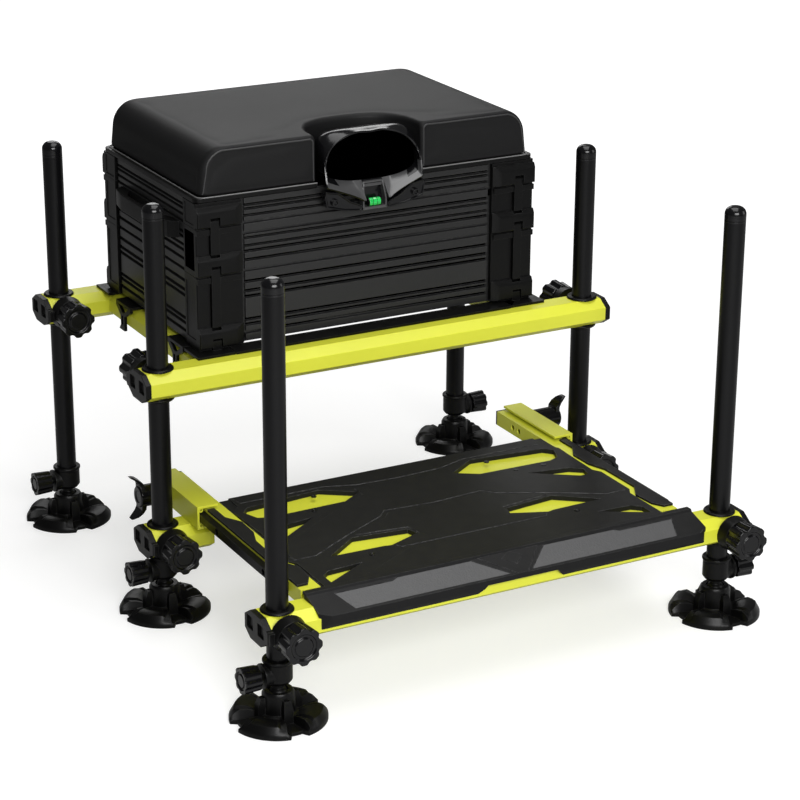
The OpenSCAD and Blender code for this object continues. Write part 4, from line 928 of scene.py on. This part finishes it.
@dataclass(frozen=True)
class SeatCushion:
    """Moulded foam seat under vinyl: tight front and back edges, rounded ends and a cut-out for the pole rest.

    Attributes:
        end_round: Rounding of the upper left and right edges, in millimetres.
        edge_round: Rounding of the upper front and back edges.
        corner_round: Rounding of the upright corners.
        lean: How far the ends draw in from the foot to the shoulder.
        notch: Half width and depth of the cut-out.
        slack: How much smaller the form starts than it ends.
        voxel: Size of the remesh before the cloth.
        pressure: Pressure of the foam in the cloth simulation.
        frames: Length of the cloth simulation.
        held: Height of the band at the foot that the cloth keeps in place.
        swell: Most that a point may move in the cloth simulation.
        piping: Radius of the welted seam.
        highlight_radius: Radius of the pale tube round the foot that paints the highlight on the lid's rim.
    """

    end_round: float = 27.0
    edge_round: float = 4.5
    corner_round: float = 9.0
    lean: float = 6.0
    notch: Pair = (70.0, 75.0)
    slack: float = 0.8
    voxel: float = 4.2
    pressure: float = 4.0
    frames: int = 20
    held: float = 4.0
    swell: float = 0.9
    piping: float = 0.9
    highlight_radius: float = 0.8

    def build(self, palette: Palette) -> None:
        """Models, fills, welts and dresses the cushion.

        Args:
            palette: Finishes to dress it with.
        """
        low, high = box_mm("seat_cushion")
        form = self._form(low, high)
        piece = self._grid(form)
        self._fill(piece, low)
        self._tighten(piece, form)
        scrap(form)
        Bench(piece.name, piece).finish(sharp=60, flat=False)
        fit(piece, palette.of(COVER), "lid", "seat_cushion")
        self._welt(piece, palette, low, high)
        # Painted highlight: a pale tube round the foot stands for the highlight on the lid's rim.
        self._lay_lid_highlight(palette, low, high)

    def _drawn_in(self, z: float, height: float, radius: float) -> float:
        """How far a wall has drawn in at a height, under an edge of a radius."""
        over = z - height + radius
        return radius - math.sqrt(max(radius * radius - over * over, 0.0)) if over > 0 else 0.0

    def _outline(
        self, low: Vector, high: Vector, z: float, end: float = 0.0, edge: float = 0.0, lip: float = 0.0
    ) -> list[Vector]:
        """Outline of the seat at a height, drawn in at its ends, at its front and back, and at its cut-out."""
        half, y0, y1, r = high.x - end, low.y + edge, high.y - edge, self.corner_round
        mouth, depth = self.notch[0] + lip, self.notch[1] + lip - edge
        outline = [Vector((mouth, y0, z))]
        right, left, front, back = half - r, r - half, y0 + r, y1 - r
        for x, y, start in ((right, front, -90), (right, back, 0), (left, back, 90), (left, front, 180)):
            for step in range(7):
                turn = math.radians(start + 15 * step)
                outline.append(Vector((x + r * math.cos(turn), y + r * math.sin(turn), z)))
        outline.append(Vector((-mouth, y0, z)))
        for step in range(1, 48):
            turn = math.pi * (1 - step / 48)
            across, deep = math.cos(turn), math.sin(turn)
            x = mouth * math.copysign(abs(across) ** 0.8, across)
            outline.append(Vector((x, y0 + depth * deep**0.72, z)))
        return outline

    def _form(self, low: Vector, high: Vector) -> Piece:
        """Models the closed form from outlines that rise from the foot to the top."""
        height = high.z - low.z - self.slack * 2
        levels = {0.0, height * 0.2, height * 0.4}
        for radius, steps in ((self.end_round, 11), (self.edge_round, 6)):
            turns = (math.pi / 2 * k / steps for k in range(steps))
            levels.update(round(height - radius + radius * math.sin(turn), 3) for turn in turns)
        rings = []
        for z in (*sorted(levels), height):
            share, drawn = z / height, self._drawn_in(z, height, self.edge_round)
            end = self.slack + self.lean * share + self._drawn_in(z, height, self.end_round)
            edge, lip = self.slack + share + drawn, self.slack + drawn
            rings.append(self._outline(low, high, low.z + z, end, edge, lip))
        bench = Bench("seat_cushion_form")
        bench.loft(rings)
        return bench.close()

    def _grid(self, form: Piece) -> Piece:
        """Remeshes a copy of the form into even faces that cloth can work on."""
        piece = copied(form, "seat_cushion_cover", Matrix())
        alone(piece)
        piece.data.remesh_voxel_size = self.voxel * MM
        bpy.ops.object.voxel_remesh()
        Bench(piece.name, piece).modify("SMOOTH", factor=0.5, iterations=3)
        return piece

    def _fill(self, piece: Piece, low: Vector) -> None:
        """Lets the foam press the cover out with a cloth simulation, held at the foot and capped."""
        alone(piece)
        before = [point.co.copy() for point in piece.data.vertices]
        held = piece.vertex_groups.new(name="held")
        held.add([p.index for p in piece.data.vertices if p.co.z < (low.z + self.held) * MM], 1.0, "REPLACE")
        cloth = piece.modifiers.new("Cloth", "CLOTH")
        cloth.settings.use_pressure = True
        cloth.settings.uniform_pressure_force = self.pressure
        cloth.settings.vertex_group_mass = "held"
        cloth.settings.effector_weights.gravity = 0.0
        for frame in range(1, self.frames + 1):
            bpy.context.scene.frame_set(frame)
        graph = bpy.context.evaluated_depsgraph_get()
        after = [point.co.copy() for point in piece.evaluated_get(graph).data.vertices]
        piece.modifiers.remove(cloth)
        bpy.context.scene.frame_set(1)
        most = self.swell * MM
        for point, start, end in zip(piece.data.vertices, before, after):
            step = end - start
            if step.length > 0:
                point.co = start + step.normalized() * most * math.tanh(step.length / most)
        piece.vertex_groups.clear()

    def _tighten(self, piece: Piece, form: Piece) -> None:
        """Draws the cover back onto the form wherever it sank under it, so that its edges stay tight."""
        alone(piece)
        bench = Bench(piece.name, piece)
        bench.modify("SMOOTH", factor=0.5, iterations=12)
        bench.modify("SUBSURF", levels=1, render_levels=1)
        for point in piece.data.vertices:
            _, near, normal, _ = form.closest_point_on_mesh(point.co)
            if (point.co - near).dot(normal) < 0:
                point.co = near
        bench.modify("SMOOTH", factor=0.35, iterations=1)

    def _welt(self, cushion: Piece, palette: Palette, low: Vector, high: Vector) -> None:
        """Lays the welted seams round both halves of the front face and round the back face."""
        for side, name in SIDES:
            front = self._seam(high.x, self.notch[0] + self.edge_round, low.z + 2, high.z)
            path = [Vector((side * x, low.y, z)) for x, z in front]
            self._pipe(f"seat_piping_front_{name}", path, cushion, palette)
        half = self._seam(high.x, 0.0, low.z + 2, high.z)[:-8]
        around = half + [(-x, z) for x, z in reversed(half)]
        self._pipe("seat_piping_back", [Vector((x, high.y, z)) for x, z in around], cushion, palette)

    def _seam(self, far: float, near: float, foot: float, top: float) -> list[Pair]:
        """Seam line up a corner, over the rounded end, along the top and down again, as x and z."""
        inset = self.edge_round * 0.9
        arc, turn_in = self.end_round - inset, 5.0
        x_end = far - inset - self.lean * 0.5
        centre = (x_end - arc - self.lean * 0.5, top - self.slack - inset - arc)
        line = [(x_end + self.lean * 0.4, foot), (x_end, foot + (centre[1] - foot) / 2)]
        for step in range(13):
            turn = math.radians(90 * step / 12)
            line.append((centre[0] + arc * math.cos(turn), centre[1] + arc * math.sin(turn)))
        level = centre[1] + arc
        line += [(centre[0] + (near + turn_in - centre[0]) * step / 8, level) for step in range(1, 9)]
        for step in range(1, 6):
            turn = math.radians(90 + 90 * step / 5)
            line.append((near + turn_in + turn_in * math.cos(turn), level - turn_in + turn_in * math.sin(turn)))
        line += [(near, level - turn_in - (level - turn_in - foot) * step / 3) for step in range(1, 4)]
        return line

    def _pipe(self, name: str, path: list[Vector], cushion: Piece, palette: Palette) -> None:
        """Makes one welt, laid on the cushion's surface."""
        finer = [a.lerp(b, t / 3) for a, b in zip(path, path[1:]) for t in range(3)] + [path[-1]]
        laid = []
        for place in finer:
            _, surface, normal, _ = cushion.closest_point_on_mesh(place * MM)
            laid.append(surface / MM + normal * self.piping * 0.15)
        fit(self._tube(name, laid, self.piping), palette.of(WELT), "lid")

    def _lay_lid_highlight(self, palette: Palette, low: Vector, high: Vector) -> None:
        """Lays a pale tube round the foot, but for the cut-out, as a painted highlight on the lid's rim."""
        foot = self._outline(low, high, low.z)[:30]
        middle = Vector((0, (low.y + high.y) / 2, low.z - self.highlight_radius * 0.4))
        path = [point + (point - middle).normalized() * self.highlight_radius for point in foot]
        fit(self._tube("seat_foot_bead", path, self.highlight_radius), palette.of(LID_RIM_PAINTED_HIGHLIGHT), "lid")

    @staticmethod
    def _tube(name: str, path: list[Vector], radius: float) -> Piece:
        """Makes a round tube along a path in millimetres."""
        curve = bpy.data.curves.new(name, "CURVE")
        curve.dimensions = "3D"
        curve.bevel_depth = radius * MM
        curve.bevel_resolution = 3
        curve.use_fill_caps = True
        spline = curve.splines.new("POLY")
        spline.points.add(len(path) - 1)
        for point, place in zip(spline.points, path):
            point.co = (*(place * MM), 1.0)
        pipe = bpy.data.objects.new(name, curve)
        bpy.context.collection.objects.link(pipe)
        alone(pipe)
        bpy.ops.object.convert(target="MESH")
        return Bench(name, pipe).finish(sharp=60, flat=False)


@dataclass(frozen=True)
class PoleRest:
    """Bell-mouthed hood in the cushion's cut-out, with swept wings at its lower lip, screwed ears and a frame.

    Attributes:
        mouth: Half width of the mouth, in millimetres.
        rise: Height of the arch over its widest line.
        floor: Drop of the floor inside below that line.
        lip: How far the mouth stands before the box and leans back over its height.
        depth: Depth of the hood from the mouth to its back.
        wall: Thickness of the shell.
        wing: Height of the lower edge, below the widest line, at the middle and at the sides.
        frame: Half width and bar of the frame round the level.
        dip: Sag in the middle of the arch.
        around: Points of each ring.
        ear: Share of the mouth's half width and height over the foot, for each corner of an ear.
    """

    mouth: float = 65.4
    rise: float = 44.0
    floor: float = 19.0
    lip: float = 20.0
    depth: float = 72.0
    wall: float = 2.2
    wing: Pair = (39.0, 19.0)
    frame: Pair = (16.15, 2.0)
    dip: float = 2.4
    around: int = 96
    ear: tuple[Pair, ...] = (
        (0.25, 6.5), (0.5, 13.5), (0.74, 25.5), (1.01, 29.0), (1.03, 22.0), (0.99, 9.0), (0.62, 2.5), (0.3, 0.0)
    )

    def build(self, palette: Palette) -> None:
        """Models and dresses the hood, its ears with their screws, and the frame of the level.

        Args:
            palette: Finishes to dress it with.
        """
        low, high = box_mm("pole_rest")
        level_low, level_high = box_mm("level_vial")
        front, line = low.y, high.z - self.rise
        hood = self._hood(front, line)
        self._cut_window(hood, front, low.z, line)
        fit(hood, palette.of(GLOSSY), "tray_top", "pole_rest")
        # Painted reflection: the wings take a paler gloss black than the hood.
        self._paint_wing_highlight(hood, palette, front, line)
        # Painted shade: a near-black sheet inside the hood darkens it where shade falls.
        fit(self._shade_sheet(front, line), palette.of(HOOD_PAINTED_SHADE), "tray_top")
        knee = (level_low.z + level_high.z) / 2 + 4
        # Painted highlight: the frame takes the paler gloss black.
        fit(self._frame(front, line, low.z, knee, level_high.y), palette.of(GLOSSY_PAINTED_HIGHLIGHT), "tray_top")
        parts = [self._panel(line, low.z, level_high.y)]
        for side, name in SIDES:
            parts += [self._ear(side, name, front, low.z), self._screw(side, name, front, low.z)]
        for part in parts:
            fit(part, palette.of(GLOSSY), "tray_top")

    def _stations(self) -> tuple[tuple[float, ...], ...]:
        """Depth, lean, width, rise, drop, squareness and sweep of each ring, from the mouth to the back."""
        lip, deep, floor = self.lip, self.depth, self.floor
        return (
            (0.0, 1.0, 1.0, 1.0, floor, 0.95, 1.0),
            (lip * 0.08, 1.0, 0.995, 0.99, floor, 0.88, 0.88),
            (lip * 0.3, 0.97, 0.985, 0.985, floor, 0.7, 0.52),
            (lip * 0.62, 0.9, 0.98, 0.985, floor, 0.52, 0.0),
            (lip * 0.95, 0.8, 0.98, 0.985, floor, 0.42, 0.0),
            (deep * 0.42, 0.5, 0.97, 0.96, floor * 0.97, 0.4, 0.0),
            (deep * 0.6, 0.3, 0.94, 0.93, floor * 0.9, 0.44, 0.0),
            (deep * 0.78, 0.15, 0.88, 0.86, floor * 0.8, 0.5, 0.0),
            (deep * 0.92, 0.05, 0.78, 0.76, floor * 0.6, 0.6, 0.0),
        )

    def _ring(
        self, front: float, line: float, station: tuple[float, ...], inwards: float = 0.0
    ) -> list[Vector]:
        """Points of one ring, its lower half between the floor's and the swept edge of the wings."""
        deep, lean, wide, high, drop, square, swept = station
        half, rise = self.mouth * wide - inwards, self.rise * high - inwards
        quarter = self.around // 4
        ring = []
        for index in range(self.around):
            turn = -math.tau * index / self.around
            across, over = math.cos(turn), math.sin(turn)
            if over > 0:
                x = half * math.copysign(abs(across) ** square, across)
                z = rise * over**square - self.dip * swept * math.exp(-((x / 13) ** 2))
            else:
                step = min(index, 2 * quarter - index) / quarter
                x = half * math.copysign(abs(across) ** 0.75, across)
                z = -(drop - inwards) * (-over) ** 0.9
                wing_x, wing_z = self._wing_edge(step, math.copysign(half, across))
                x, z = x + (wing_x - x) * swept, z + (wing_z - z) * swept
            back = self.lip * lean * (z + self.wing[0]) / (self.rise + self.wing[0])
            ring.append(Vector((x, front + deep + back, line + z)))
        return ring

    def _wing_edge(self, step: float, half: float) -> Pair:
        """Lower edge of the mouth: down the side, then swept inwards and down to the level's frame."""
        corner, inner = 0.26, 0.28
        if step < corner:
            return half, -self.wing[1] * step / corner
        share = 1 - (step - corner) / (1 - corner)
        sweep = max(0.0, share - inner) / (1 - inner)
        return half * share, -(self.wing[0] + (self.wing[1] - self.wing[0]) * sweep**0.8)

    def _hood(self, front: float, line: float) -> Piece:
        """Models the shell from its rings, opens its mouth and gives it a wall with a rolled rim."""
        bench = Bench("pole_rest_hood")
        bench.loft([self._ring(front + 1.0, line, station) for station in self._stations()])
        bench.open_end()
        bench.modify("SOLIDIFY", thickness=self.wall * MM, offset=-1.0, use_even_offset=True)
        return bench.finish((0.6, 55, 3), 50, flat=False)

    def _cut_window(self, hood: Piece, front: float, low: float, line: float) -> None:
        """Cuts the middle out of the lower lip, where the level's frame stands."""
        half = self.frame[0] - self.frame[1] / 2
        cutter = Bench("pole_rest_window")
        cutter.cube((-half, front - 5, low - 10), (half, front + self.lip * 0.66, line - self.floor + 1.5))
        tool = cutter.close()
        bench = Bench(hood.name, hood)
        alone(hood)
        bench.modify("BOOLEAN", object=tool, operation="DIFFERENCE", solver="EXACT")
        scrap(tool)
        bench.finish(sharp=50, flat=False)

    def _paint_wing_highlight(self, hood: Piece, palette: Palette, front: float, line: float) -> None:
        """Gives the wings a paler gloss black than the hood: a painted reflection of the bright sky that they
        lean back to.
        """
        hood.data.materials.append(palette.of(GLOSSY_PAINTED_HIGHLIGHT))
        for face in hood.data.polygons:
            place, normal = face.center / MM, face.normal
            inside = normal.z > -0.3 and normal.y < 0.5 and normal.x * place.x < 0.3 * abs(place.x)
            if place.y < front + self.lip * 0.7 and place.z < line - 1 and inside:
                face.material_index = 1

    def _shade_sheet(self, front: float, line: float) -> Piece:
        """Models a near-black sheet inside the hood that paints the shade deep inside it."""
        bench = Bench("pole_rest_lining")
        inner = [station for station in self._stations() if station[0] > self.lip * 0.5]
        bench.loft([self._ring(front + 1.0, line, (s[0] * 0.95, *s[1:]), self.wall + 0.7) for s in inner])
        bench.open_end()
        bench.modify("SOLIDIFY", thickness=0.4 * MM, offset=-1.0)
        return bench.finish(sharp=50)

    def _frame(self, front: float, line: float, low: float, knee: float, back: float) -> Piece:
        """Models the square frame over the level and the cradle under it."""
        bench = Bench("pole_rest_level_frame")
        half, bar = self.frame
        start, top, lean, taper = front + self.lip * 0.35, line - self.floor + 1.0, 5.0, 2.4
        bench.cube((-half, start, low), (half, back + 4, low + 3.4))
        for side, _ in SIDES:
            ends = sorted((side * half, side * (half - bar)))
            bench.cube((ends[0], start, low + 1), (ends[1], back + 2, knee))
            bench.faces(lambda c, n: up(c, n) and abs(c.z - knee) < 0.2 and c.x * side > half - bar)
            bench.extrude((-side * taper, lean, top - knee))
        bench.cube((taper - half, start + lean, top - bar), (half - taper, back + 8, top))
        return bench.finish((0.45, 35, 2))

    def _panel(self, line: float, low: float, back: float) -> Piece:
        """Models the dark panel behind the level, within its frame."""
        bench = Bench("pole_rest_level_panel")
        half = self.frame[0] - self.frame[1] * 0.5
        bench.cube((-half, back + 2, low + 2), (half, back + 4, line - self.floor + 0.4))
        return bench.close()

    def _ear(self, side: int, name: str, front: float, low: float) -> Piece:
        """Models one ear: a plate under the wing, with a raised rim and a sunk field."""
        bench = Bench(f"pole_rest_ear_{name}")
        ends = (front + self.lip * 0.3, front + self.lip * 0.85)
        bench.loft([[Vector((side * x * self.mouth, y, low + z)) for x, z in self.ear] for y in ends])
        bench.faces(lambda c, n: n.y < -STRAIGHT)
        bench.inset(1.6)
        bench.inset(0.5, -1.2)
        return bench.finish((0.5, 35, 2))

    def _screw(self, side: int, name: str, front: float, low: float) -> Piece:
        """Models the cap screw of an ear, with its socket."""
        bench = Bench(f"pole_rest_screw_{name}")
        bench.cylinder(4.6, 0, 4.2, 32)
        bench.faces(up)
        bench.inset(2.1)
        bench.inset(0.3, -2.2)
        place = Vector((side * self.mouth * 0.83, front + self.lip * 0.3 + 1.6, low + 14.5))
        return bench.finish((0.4, 35, 2), place=turned(place, Vector((0, -1, 0))))


@dataclass(frozen=True)
class LevelVial:
    """Bubble level: a clear barrel with end plugs, marked lines and a bubble, along X."""

    sides: int = 40

    def build(self, palette: Palette) -> None:
        """Models and dresses the vial, its plugs, its lines and its bubble.

        Args:
            palette: Finishes to dress it with.
        """
        low, high = box_mm("level_vial")
        middle, radius, half = (low + high) / 2, (high.z - low.z) / 2, (high.x - low.x) / 2
        place = turned(middle, Vector((1, 0, 0)))
        barrel = self._rod("level_vial_barrel", place, radius * 0.96, -half * 0.9, half * 0.9)
        fit(barrel, palette.vial, "tray_top", "level_vial")
        for side, name in SIDES:
            at = side * half * 0.32
            ends = sorted((side * half * 0.86, side * half))
            plug = self._rod(f"level_vial_plug_{name}", place, radius, *ends)
            line = self._rod(f"level_vial_line_{name}", place, radius * 0.99, at - 0.3, at + 0.3)
            for piece in (plug, line):
                fit(piece, palette.of(GLOSSY), "tray_top")
        bench = Bench("level_vial_bubble")
        bench.ball(radius * 0.42, 12)
        bench.points(lambda p: True)
        bench.scale((1.7, 0.8, 0.5))
        bench.move(middle + Vector((0, -radius * 0.25, radius * 0.72)))
        fit(bench.finish(sharp=80), palette.bubble, "tray_top")

    def _rod(self, name: str, place: Matrix, radius: float, start: float, end: float) -> Piece:
        """A short rod with bevelled ends along the vial's axis."""
        bench = Bench(name)
        bench.cylinder(radius, start, end, self.sides)
        return bench.finish((min(0.6, (end - start) * 0.2), 40, 3), place=place)


@dataclass(frozen=True)
class LegCap:
    """Glossy plug over the open top of a leg, with a rolled rim, modelled down from the origin.

    Attributes:
        over: How far the plug stands out past the tube, in millimetres.
        skirt: Length of the plug.
        dome: Rounding of its top.
        groove: Share of the radius left in the groove under the plug.
    """

    over: float = 0.02
    skirt: float = 15.0
    dome: float = 9.0
    groove: float = 0.975

    def build_all(self, palette: Palette) -> None:
        """Models one cap and copies it onto every leg.

        Args:
            palette: Finishes to dress it with.
        """
        low, high = box_mm("leg_tube_front_left")
        bench = Bench("leg_cap")
        bench.cylinder((high.x - low.x) / 2 + self.over, -self.skirt, 0, 64)
        bench.edges(lambda a, b: a.z > -0.1 and b.z > -0.1)
        bench.bevel(self.dome, 8)
        bench.faces(down)
        for drop, share in ((0.3, self.groove), (1.0, 1.0), (0.3, 1 / self.groove), (1.4, 1.0)):
            bench.extrude((0, 0, -drop))
            if share != 1:
                bench.scale((share, share, 1))
        cap = bench.finish((0.12, 30, 2))
        for leg in (f"{row}_{side}" for row in ROWS for _, side in SIDES):
            low, high = box_mm(f"leg_tube_{leg}")
            top = Vector(((low.x + high.x) / 2, (low.y + high.y) / 2, high.z))
            copy = copied(cap, f"leg_cap_{leg}", Matrix.Translation(top * MM))
            fit(copy, palette.of(GLOSSY), f"leg_{leg}")
        scrap(cap)


@dataclass(frozen=True)
class DeckScrew:
    """Round screw head with a socket, sunk in the footplate's deck.

    Attributes:
        radius: Radius of the head, in millimetres.
        places: Distance from the middle and place along Y of each pair.
    """

    radius: float = 3.4
    places: tuple[Pair, ...] = ((139, -95), (178, -97), (137, -239), (120, -56), (107, -20))

    def build_all(self, palette: Palette) -> None:
        """Models one screw and copies it to every place.

        Args:
            palette: Finishes to dress it with.
        """
        _, high = box_mm("footplate_deck")
        bench = Bench("deck_screw")
        bench.cylinder(self.radius, -1.0, 0.45, 24)
        bench.faces(up)
        bench.inset(self.radius * 0.45)
        bench.inset(self.radius * 0.06, -0.5)
        screw = bench.finish((0.25, 35, 2))
        for index, (x, y) in enumerate(self.places, 1):
            for side, name in SIDES:
                place = Matrix.Translation(Vector((side * x, y, high.z - 0.5)) * MM)
                copy = copied(screw, f"deck_screw_{index}_{name}", place)
                fit(copy, palette.of(STEEL), "footplate")
        scrap(screw)


class Fittings:
    """Knobs and feet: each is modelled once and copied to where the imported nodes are."""

    kinds = {
        "clamp_knob": StarKnob(22.0, 24.0, (4.0, 29.8)),
        "foot_knob": StarKnob(15.5, 21.0, (4.0, 11.1)),
        "wing_knob": WingKnob(13.5, 37.7, 54.0, 20.0, 7.0, 14.0),
        "foot_pad": FootPad(),
    }

    def __init__(self, frame: dict, palette: Palette) -> None:
        self.nodes: dict[str, Piece] = frame["nodes"]
        self.palette = palette

    def build_all(self) -> list[str]:
        """Models the four kinds and sets every copy in its place.

        Returns:
            The nodes that the copies stand for.
        """
        models = {kind: maker.model(kind + "_model") for kind, maker in self.kinds.items()}
        placed = []
        for name in sorted(self.nodes):
            for kind in (kind for kind in models if name.startswith(kind)):
                finish, slot = (MOULDED, Slot.PLASTIC) if kind == "foot_pad" else (GLOSSY, Slot.GLOSS)
                piece = copied(models[kind], name + "_model", self._place(kind, name))
                fit(piece, self.palette.of(finish), self.nodes[name]["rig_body"], name)
                placed.append(name)
        for model in models.values():
            scrap(model)
        return placed

    def _place(self, kind: str, name: str) -> Matrix:
        """Where a copy goes: a pad on the ground, a knob with its back to what it clamps."""
        low, high = box_mm(name)
        place = (low + high) / 2
        if kind == "foot_pad":
            return Matrix.Translation(Vector((place.x, place.y, 0)) * MM)
        axis, middle = 0, 0.0
        if kind == "clamp_knob":
            row, side = name.split("_")[-2:]
            axis, middle = 1, sum(box_mm(f"leg_tube_{row}_{side}"), Vector()).y / 2
        facing = Vector((0, 0, 0))
        facing[axis] = math.copysign(1, place[axis] - middle)
        inner, outer = (low, high) if facing[axis] > 0 else (high, low)
        if kind == "wing_knob":
            place[axis] = inner[axis]
        else:
            place[axis] = outer[axis] - facing[axis] * self.kinds[kind].length
        return turned(place, facing)


@dataclass(frozen=True)
class Studio:
    """Floor, world, lamps and the photograph's camera.

    Attributes:
        lens_px: Focal length in pixels.
        frame_px: Width of the picture in pixels.
        turns: Yaw, pitch and roll of the camera, in degrees.
        place: Place of the camera, in millimetres.
        sensor: Width of the sensor, in millimetres.
        lamps: Name, place, target, size and watts of each soft box.
    """

    lens_px: float = 2422.5
    frame_px: float = 800.0
    turns: Triple = (28.54, 20.39, 0.30)
    place: Triple = (-1311.2, -2461.7, 1256.8)
    sensor: float = 36.0
    lamps: tuple[tuple, ...] = (
        ("key", (-500, -2200, 1300), (0, 0, 250), (1500, 900), 52),
        ("top", (200, -100, 2500), (0, 0, 300), (2400, 1500), 40),
        ("fill", (2300, -1300, 1000), (0, 0, 250), (900, 1300), 8),
        ("rear", (900, 2400, 1500), (0, 100, 400), (1500, 700), 9),
    )

    def build(self) -> None:
        """Builds the whole stage."""
        self._camera()
        self._floor()
        self._world()
        for lamp in self.lamps:
            self._lamp(*lamp)

    def _camera(self) -> None:
        """Camera at the photograph's place and angle."""
        yaw, pitch, roll = (math.radians(a) for a in self.turns)
        ahead = Vector((math.sin(yaw) * math.cos(pitch), math.cos(yaw) * math.cos(pitch), -math.sin(pitch)))
        right = Vector((math.cos(yaw), -math.sin(yaw), 0.0))
        above = right.cross(ahead)
        right_rolled = right * math.cos(roll) + above * math.sin(roll)
        above_rolled = above * math.cos(roll) - right * math.sin(roll)
        data = bpy.data.cameras.new("camera")
        data.sensor_width = self.sensor
        data.lens = self.lens_px / self.frame_px * self.sensor
        data.clip_end = 50
        camera = bpy.data.objects.new("camera", data)
        turn = Matrix((right_rolled, above_rolled, -ahead)).transposed().to_4x4()
        camera.matrix_world = Matrix.Translation(mm(*self.place)) @ turn
        bpy.context.collection.objects.link(camera)
        bpy.context.scene.camera = camera

    def _floor(self) -> None:
        """Pale floor that stays white to the camera and keeps the shadow."""
        bpy.ops.object.select_all(action="DESELECT")
        bpy.ops.mesh.primitive_plane_add(size=30, location=(0, 0, 0))
        floor = bpy.context.active_object
        floor.name = "floor"
        material, tree, shader = new_material("pale_floor")
        seen = add_node(tree, "LightPath").outputs["Is Camera Ray"]
        place = add_node(tree, "TexCoord").outputs["Object"]
        away = add_node(tree, "VectorMath", {0: place}, operation="LENGTH").outputs["Value"]
        span = {"From Min": 0.5, "From Max": 2.4, "To Min": 0.55, "To Max": 0.98}
        far = add_node(tree, "MapRange", {"Value": away, **span}).outputs[0]
        glow = add_node(tree, "Math", {0: seen, 1: far}, operation="MULTIPLY").outputs[0]
        light = {"Emission Color": (1.0, 1.0, 1.0, 1.0), "Emission Strength": glow}
        wire(tree, shader, {"Base Color": (0.55, 0.55, 0.55, 1.0), "Roughness": 0.7, **light})
        floor.data.materials.append(material)

    def _world(self) -> None:
        """White behind the object, and a plain grey light from all round."""
        world = bpy.data.worlds.new("studio")
        bpy.context.scene.world = world
        world.use_nodes = True
        tree = world.node_tree
        seen = add_node(tree, "LightPath").outputs["Is Camera Ray"]
        level = add_node(tree, "MapRange", {"Value": seen, "To Min": 0.1, "To Max": 1.0}).outputs[0]
        wire(tree, tree.nodes["Background"], {"Color": (1.0, 1.0, 1.0, 1.0), "Strength": level})

    @staticmethod
    def _lamp(name: str, place: Triple, target: Triple, size: Pair, watts: float) -> None:
        """Adds a soft box that looks at a target, in millimetres."""
        data = bpy.data.lights.new(name, "AREA")
        data.shape = "RECTANGLE"
        data.size, data.size_y = size[0] * MM, size[1] * MM
        data.energy = watts
        lamp = bpy.data.objects.new(name, data)
        lamp.location = mm(*place)
        lamp.rotation_euler = (mm(*target) - mm(*place)).to_track_quat("-Z", "Y").to_euler()
        bpy.context.collection.objects.link(lamp)


def main() -> None:
    """Builds the stage, the finishes and every piece, in order."""
    logging.basicConfig(level=logging.INFO, format="%(name)s: %(message)s")
    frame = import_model()
    bpy.context.scene.view_settings.view_transform = "Standard"
    Studio().build()
    palette = Palette()
    replaced = Fittings(frame, palette).build_all()
    SeatCushion().build(palette)
    PoleRest().build(palette)
    LevelVial().build(palette)
    LegCap().build_all(palette)
    DeckScrew().build_all(palette)
    PackedNodes(frame, palette).dress_all([*replaced, "seat_cushion", "pole_rest", "level_vial"])
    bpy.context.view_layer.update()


if __name__ == "__main__":
    main()
